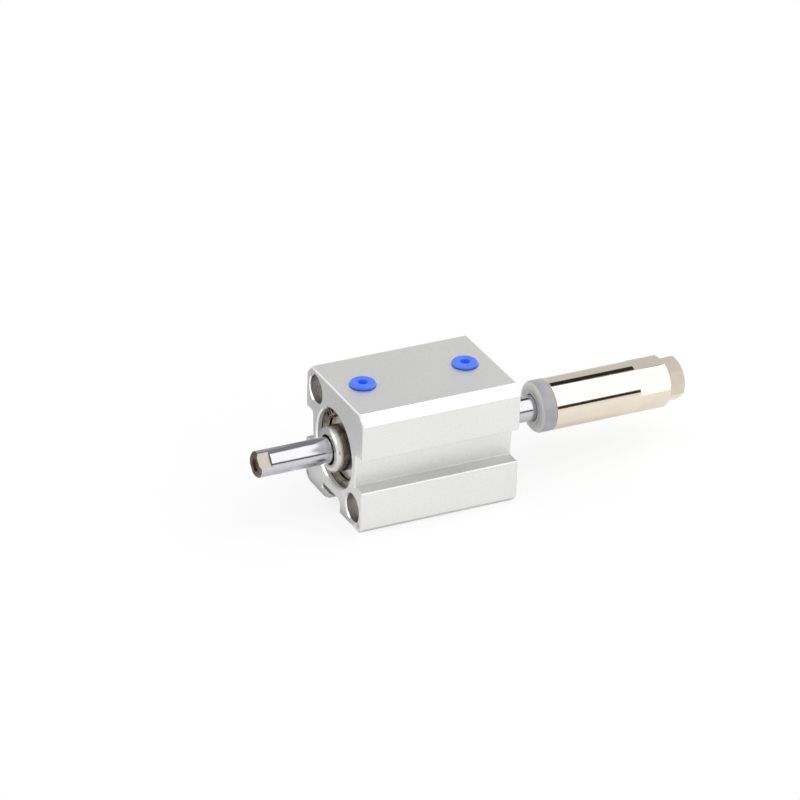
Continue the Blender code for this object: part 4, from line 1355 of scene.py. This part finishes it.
nut_thickness = NUT_BACK - NUT_FRONT
nut_corner = NUT_ACROSS / 2 / math.cos(math.pi / 6)
nut_cone = NUT_CORNER_CUT * math.tan(math.pi / 6)
nut = turned("nut_turned", [
    (0, THREAD_BORE + SLEEVE_CHAMFER),
    (0, nut_corner - NUT_CORNER_CUT),
    (nut_cone, nut_corner),
    (nut_thickness - nut_cone, nut_corner),
    (nut_thickness, nut_corner - NUT_CORNER_CUT),
    (nut_thickness, THREAD_BORE + SLEEVE_CHAMFER),
    (nut_thickness - SLEEVE_CHAMFER, THREAD_BORE),
    (SLEEVE_CHAMFER, THREAD_BORE),
], NUT_NICKEL, steps=160, edge=0.02 * MM)
mill_flats(nut, NUT_ACROSS, -CUT_MARGIN, nut_thickness + CUT_MARGIN, 6, NUT_ANGLE)
deburr(nut)
finished(nut, rod_place(NUT_FRONT), "nut", "nickel_steel", "lock_nut")

# %% [markdown]
# Two soft plugs keep dirt out of the ports. Each has a dimple left by its mould, and a
# generous round on every edge.

# %% The port plugs
PLUG_HEAD_RADIUS = PORT_SPOT_RADIUS - SIDE_GAP
PLUG_STEM_RADIUS = PORT_RADIUS - SIDE_GAP
PLUG_HEAD_HEIGHT = 0.8 * MM
PLUG_EDGE = 0.25 * MM
PLUG_STEM_LENGTH = 4.4 * MM
DIMPLE_RADIUS = 1.1 * MM
DIMPLE_DEPTH = 1.6 * MM

for label, along in PORT_PLACES.items():
    plug = turned(f"{label}_plug_moulded", [
        (-PLUG_STEM_LENGTH, 0),
        (-PLUG_STEM_LENGTH, PLUG_STEM_RADIUS - PLUG_EDGE),
        (PLUG_EDGE - PLUG_STEM_LENGTH, PLUG_STEM_RADIUS),
        (0, PLUG_STEM_RADIUS),
        (0, PLUG_HEAD_RADIUS),
        (PLUG_HEAD_HEIGHT - PLUG_EDGE, PLUG_HEAD_RADIUS),
        (PLUG_HEAD_HEIGHT, PLUG_HEAD_RADIUS - PLUG_EDGE),
        (PLUG_HEAD_HEIGHT, DIMPLE_RADIUS),
        (PLUG_HEAD_HEIGHT - DIMPLE_DEPTH, DIMPLE_RADIUS),
        (PLUG_HEAD_HEIGHT - DIMPLE_DEPTH, 0),
    ], BLUE, steps=96, edge=0.16 * MM, upright=True)
    seat = Matrix.Translation((along, 0, port_floor + SEAT_GAP))
    finished(plug, FRONT_PLACE @ seat, f"{label}_plug", "blue_plug", f"{label}_port_plug")

# %% [markdown]
# What sits deep inside keeps its solid as it is, because only a sliver of it ever
# shows. Each of those solids still gets its real material.

# %% Materials for the solids that stay
KEPT = {
    "front_cover_seal": RUBBER,
    "rear_cover_seal": RUBBER,
    "piston_seal": RUBBER,
    "front_bush": BRONZE,
    "rear_bush": BRONZE,
    "front_stop_pad": URETHANE,
    "rear_stop_pad": URETHANE,
    "piston": TURNED,
}
for node, material in KEPT.items():
    for slot in bpy.data.objects[node].material_slots:
        slot.link = "OBJECT"
        slot.material = material
print("kept solids:", ", ".join(KEPT))

# %% [markdown]
# A polished rod shows its surroundings more than itself, so the light is a light tent:
# a long tunnel of glowing cloth over the table. Its roof is one broad soft source, its
# walls are paler, and two narrow dark gaps draw the crisp streaks along every bright
# cylinder. Both ends are plain, so that the barrel's top keeps its tone when it is seen
# at a low angle. The camera doesn't see the tent. Round it, the world is plain white.

# %% The light tent
TENT_RADIUS = 500 * MM
TENT_HALF = 1000 * MM
TENT_PANEL = 5      # degrees round the tunnel to one flat panel
BRIGHTEST = 2.2     # what the walls' stops are shares of
# A wall is a list of stops: an angle round the tunnel in degrees (0 towards the
# viewer's side, 90 straight up, 180 the far side), and a brightness.
RIGHT_WALL = [
    (-9, 0.02),
    (10.5, 0.02),
    (12, 1.60),
    (102.5, 1.60),
    (104.5, 0.02),
    (126.5, 0.02),
    (128.5, 0.70),
    (182, 0.68),
]
LEFT_WALL = [
    (-9, 0.45),
    (110, 0.45),
    (135, 1.15),
    (182, 1.15),
]
END_WALL = [
    (-9, 0.95),
    (50, 0.95),
    (65, 2.20),
    (115, 2.20),
    (130, 0.95),
    (182, 0.95),
]
LEFT_FROM = 30 * MM       # along the tunnel, the walls blend from here
LEFT_TO = -170 * MM       # to here
END_FROM = 300 * MM       # and from this far out, either way,
END_TO = 430 * MM         # they blend into the end walls


def studio_mesh(name, corners, faces, material):
    """Something that stands in the studio: light can find it, the camera can't."""
    mesh = bpy.data.meshes.new(name)
    mesh.from_pydata(corners, [], faces)
    mesh.materials.append(material)
    obj = linked(name, mesh)
    obj.visible_camera = False
    return obj


def glowing(name):
    """A material that only glows; returns it with its tree and its glow."""
    material = bpy.data.materials.new(name)
    material.use_nodes = True
    tree = material.node_tree
    tree.nodes.clear()
    glow = new_node(tree, "ShaderNodeEmission")
    new_node(tree, "ShaderNodeOutputMaterial", Surface=glow.outputs[0])
    return material, tree, glow


def round_tunnel(degrees):
    """An angle's place on a colour ramp that runs once round, from straight down."""
    return degrees / 360 + 0.25


def wall(tree, angle, stops):
    """A colour ramp over the angle, as shares of the greatest brightness."""
    share = math_node(tree, "ADD", math_node(tree, "DIVIDE", angle, math.tau), round_tunnel(0))
    ramp = new_node(tree, "ShaderNodeValToRGB", Fac=share)
    marks = ramp.color_ramp.elements
    marks[-1].position = round_tunnel(stops[-1][0])
    marks[0].position = round_tunnel(stops[0][0])
    for degrees, _ in stops[1:-1]:
        marks.new(round_tunnel(degrees))
    for mark, (_, value) in zip(marks, stops):
        mark.color = (value / BRIGHTEST,) * 3 + (1,)
    return ramp.outputs["Color"]


def blended(tree, share, first, second):
    made = new_node(tree, "ShaderNodeMix", data_type="RGBA", Factor=share, A=first, B=second)
    return made.outputs["Result"]


def tent_cloth():
    material, tree, glow = glowing("tent cloth")
    place = split(tree, new_node(tree, "ShaderNodeTexCoord").outputs["Object"])
    height = math_node(tree, "SUBTRACT", place["Z"], AXIS_Z)
    # turned back by a quarter, so that the whole tunnel lies in one run of angles
    angle = math_node(tree, "ADD", math_node(tree, "ARCTAN2", place["Y"], height), math.pi / 2)
    left = soft_step(tree, place["X"], LEFT_FROM, LEFT_TO)
    ends = soft_step(tree, math_node(tree, "ABSOLUTE", place["X"]), END_FROM, END_TO)
    middle = blended(tree, left, wall(tree, angle, RIGHT_WALL), wall(tree, angle, LEFT_WALL))
    feed(tree, glow.inputs["Color"], blended(tree, ends, middle, wall(tree, angle, END_WALL)))
    glow.inputs["Strength"].default_value = BRIGHTEST
    return material


TENT_ANGLES = range(-8, 183, TENT_PANEL)
tent_ring = [polar(TENT_RADIUS, math.radians(180 - angle), (0, AXIS_Z)) for angle in TENT_ANGLES]
tent_corners = [(end, y, z) for y, z in tent_ring for end in (-TENT_HALF, TENT_HALF)]
tent_faces = [(i, i + 1, i + 3, i + 2) for i in range(0, len(tent_corners) - 2, 2)]
studio_mesh("light_tent", tent_corners, tent_faces, tent_cloth())

world = bpy.data.worlds.new("white")
world.use_nodes = True
world.node_tree.nodes["Background"].inputs["Color"].default_value = (1, 1, 1, 1)
bpy.context.scene.world = world
print("tent of", len(tent_faces), "panels")

# %% [markdown]
# Three cards finish the light. Chrome looks like chrome when it has something dark to
# mirror, so a tall flag stands behind the front rod. It works from one side only and is
# clear from the other. A low grey card beyond it keeps the front face a tone below the
# broad sides, and a strip on the table is a painted shadow at its foot. All three are
# only ever seen as reflections.

# %% The cards
FLAG_TONE = 0.30
CARD_TONE = 0.47
STRIP_SHADOW_TONE = 0.25
FLAG_START = (-0.3 * MM, 3.2 * MM)
FLAG_END = (-14 * MM, 62 * MM)
FLAG_HEIGHTS = (3 * MM, 75 * MM)
CARD_START = (16 * MM, 17 * MM)
CARD_END = (-45 * MM, 17 * MM)
CARD_HEIGHTS = (-AXIS_Z, 16 * MM)
STRIP_WIDTH = 6 * MM       # how far the strip reaches out from the front face
STRIP_SIDES = (-9 * MM, 17 * MM)
STRIP_HEIGHT = 0.1 * MM - AXIS_Z


def studio_card(name, corners, tone, end_tone=None, one_sided=False):
    """A card with corners given from the front face and the axis; only mirrors see it."""
    material, tree, glow = glowing(name)
    glow.inputs["Color"].default_value = (tone, tone, tone, 1)
    if end_tone is not None:
        place = split(tree, new_node(tree, "ShaderNodeTexCoord").outputs["Object"])
        blend = new_node(tree, "ShaderNodeMapRange", Value=place["X"], From_Min=FRONT_X,
                         From_Max=FRONT_X - STRIP_WIDTH, To_Min=tone, To_Max=end_tone)
        feed(tree, glow.inputs["Color"], blend.outputs["Result"])
    if one_sided:
        side = new_node(tree, "ShaderNodeNewGeometry").outputs["Backfacing"]
        mix = new_node(tree, "ShaderNodeMixShader", Fac=side)
        feed(tree, mix.inputs[1], glow.outputs[0])
        feed(tree, mix.inputs[2], new_node(tree, "ShaderNodeBsdfTransparent").outputs[0])
        feed(tree, tree.nodes["Material Output"].inputs["Surface"], mix.outputs[0])
    corners = [(FRONT_X + x, y, AXIS_Z + z) for x, y, z in corners]
    card = studio_mesh(name, corners, [(0, 1, 2, 3)], material)
    card.visible_diffuse = False
    card.visible_shadow = False


def upright(start, end, heights):
    """The corners of an upright card between two points on the table."""
    low, high = heights
    return [(*start, low), (*start, high), (*end, high), (*end, low)]


studio_card("flag", upright(FLAG_START, FLAG_END, FLAG_HEIGHTS), FLAG_TONE, one_sided=True)
studio_card("grey_card", upright(CARD_START, CARD_END, CARD_HEIGHTS), CARD_TONE)
# a painted shadow: the strip is darkest at the front face's foot and fades out to white
strip = [(x, y, STRIP_HEIGHT) for x in (0, -STRIP_WIDTH) for y in STRIP_SIDES]
studio_card("grey_strip", [strip[0], strip[1], strip[3], strip[2]], STRIP_SHADOW_TONE, end_tone=1.0)

# %% [markdown]
# The table is white paper, and it ends a hand's breadth in front of the object. Near
# the object it is partly a real surface that takes the shadow. Further out it fades
# into the white behind it, so no horizon shows. The glow that makes it white is there
# for the camera and for reflections, and puts no more light on the object.

# %% The paper
PAPER_FRONT = 380 * MM
PAPER_REACH = 1500 * MM
SHADOW_SHARE = 0.22     # how much of the paper's look is the lit surface, near the object
MIRROR_SHARE = 1.0      # and of its look in a reflection, which shows the closest shadows
SHADOW_REACH = 60 * MM     # beyond this distance from the middle it starts to fade
FADE_END = 140 * MM


def white_paper():
    finish = Finish("white paper", Roughness=0.9)
    tree = finish.tree
    grain = finish.effect(GRAIN, Size=0.4 * MM)
    finish.colour(grain, (0.93, 0.93, 0.93), (0.96, 0.96, 0.96))
    distance = new_node(tree, "ShaderNodeVectorMath", operation="LENGTH")
    feed(tree, distance.inputs[0], finish.where["Object"])
    rays = new_node(tree, "ShaderNodeLightPath").outputs
    mirrored = math_node(tree, "MAXIMUM", rays["Is Glossy Ray"], rays["Is Transmission Ray"])
    glows = []
    for ray, lit_share in ((rays["Is Camera Ray"], SHADOW_SHARE), (mirrored, MIRROR_SHARE)):
        fade = soft_step(tree, distance.outputs["Value"], SHADOW_REACH, FADE_END, low=1 - lit_share)
        glows.append(math_node(tree, "MULTIPLY", ray, fade))
    mix = new_node(tree, "ShaderNodeMixShader", Fac=math_node(tree, "MAXIMUM", *glows))
    feed(tree, mix.inputs[1], finish.shader.outputs[0])
    feed(tree, mix.inputs[2], new_node(tree, "ShaderNodeEmission").outputs[0])
    feed(tree, tree.nodes["Material Output"].inputs["Surface"], mix.outputs[0])
    return finish.material


paper = studio_mesh("paper", [
    (-PAPER_REACH, -PAPER_FRONT, 0),
    (PAPER_REACH, -PAPER_FRONT, 0),
    (PAPER_REACH, PAPER_REACH, 0),
    (-PAPER_REACH, PAPER_REACH, 0),
], [(0, 1, 2, 3)], white_paper())
paper.visible_camera = True

# %% [markdown]
# Last the camera. It stands where the photographer's did: a little to the left of the
# broad side, well above, far away with a long lens, and turned by a hair about its own
# axis. The place follows from the direction and from where one known point, 20 mm
# behind the front face on the axis, falls in the picture.

# %% The camera
PICTURE = 800
SENSOR = 36.0
AZIMUTH = math.radians(-26.773)
ELEVATION = math.radians(28.106)
ROLL = math.radians(1.788)
DISTANCE = 976.74 * MM
FOCAL_PIXELS = 4395.56
AIM_DEPTH = 20 * MM
AIM_PIXEL = (415.17, 431.50)

aim = Vector((FRONT_X + AIM_DEPTH, 0, AXIS_Z))
flat = math.cos(ELEVATION)
back = Vector((math.sin(AZIMUTH) * flat, -math.cos(AZIMUTH) * flat, math.sin(ELEVATION)))
right = Vector((0, 0, 1)).cross(back).normalized()
up = back.cross(right)
side = right * math.cos(ROLL) + up * math.sin(ROLL)
top = up * math.cos(ROLL) - right * math.sin(ROLL)
per_pixel = DISTANCE / FOCAL_PIXELS
across = side * (AIM_PIXEL[0] - PICTURE / 2) * per_pixel
down = top * (AIM_PIXEL[1] - PICTURE / 2) * per_pixel
place = aim + back * DISTANCE - across + down

lens = bpy.data.cameras.new("camera")
lens.sensor_width = SENSOR
lens.lens = FOCAL_PIXELS / PICTURE * SENSOR
camera = linked("camera", lens)
camera.matrix_world = Matrix.Translation(place) @ Matrix((side, top, back)).transposed().to_4x4()
bpy.context.scene.camera = camera
bpy.context.scene.view_settings.view_transform = "Standard"
print("camera", round(lens.lens, 1), "mm")
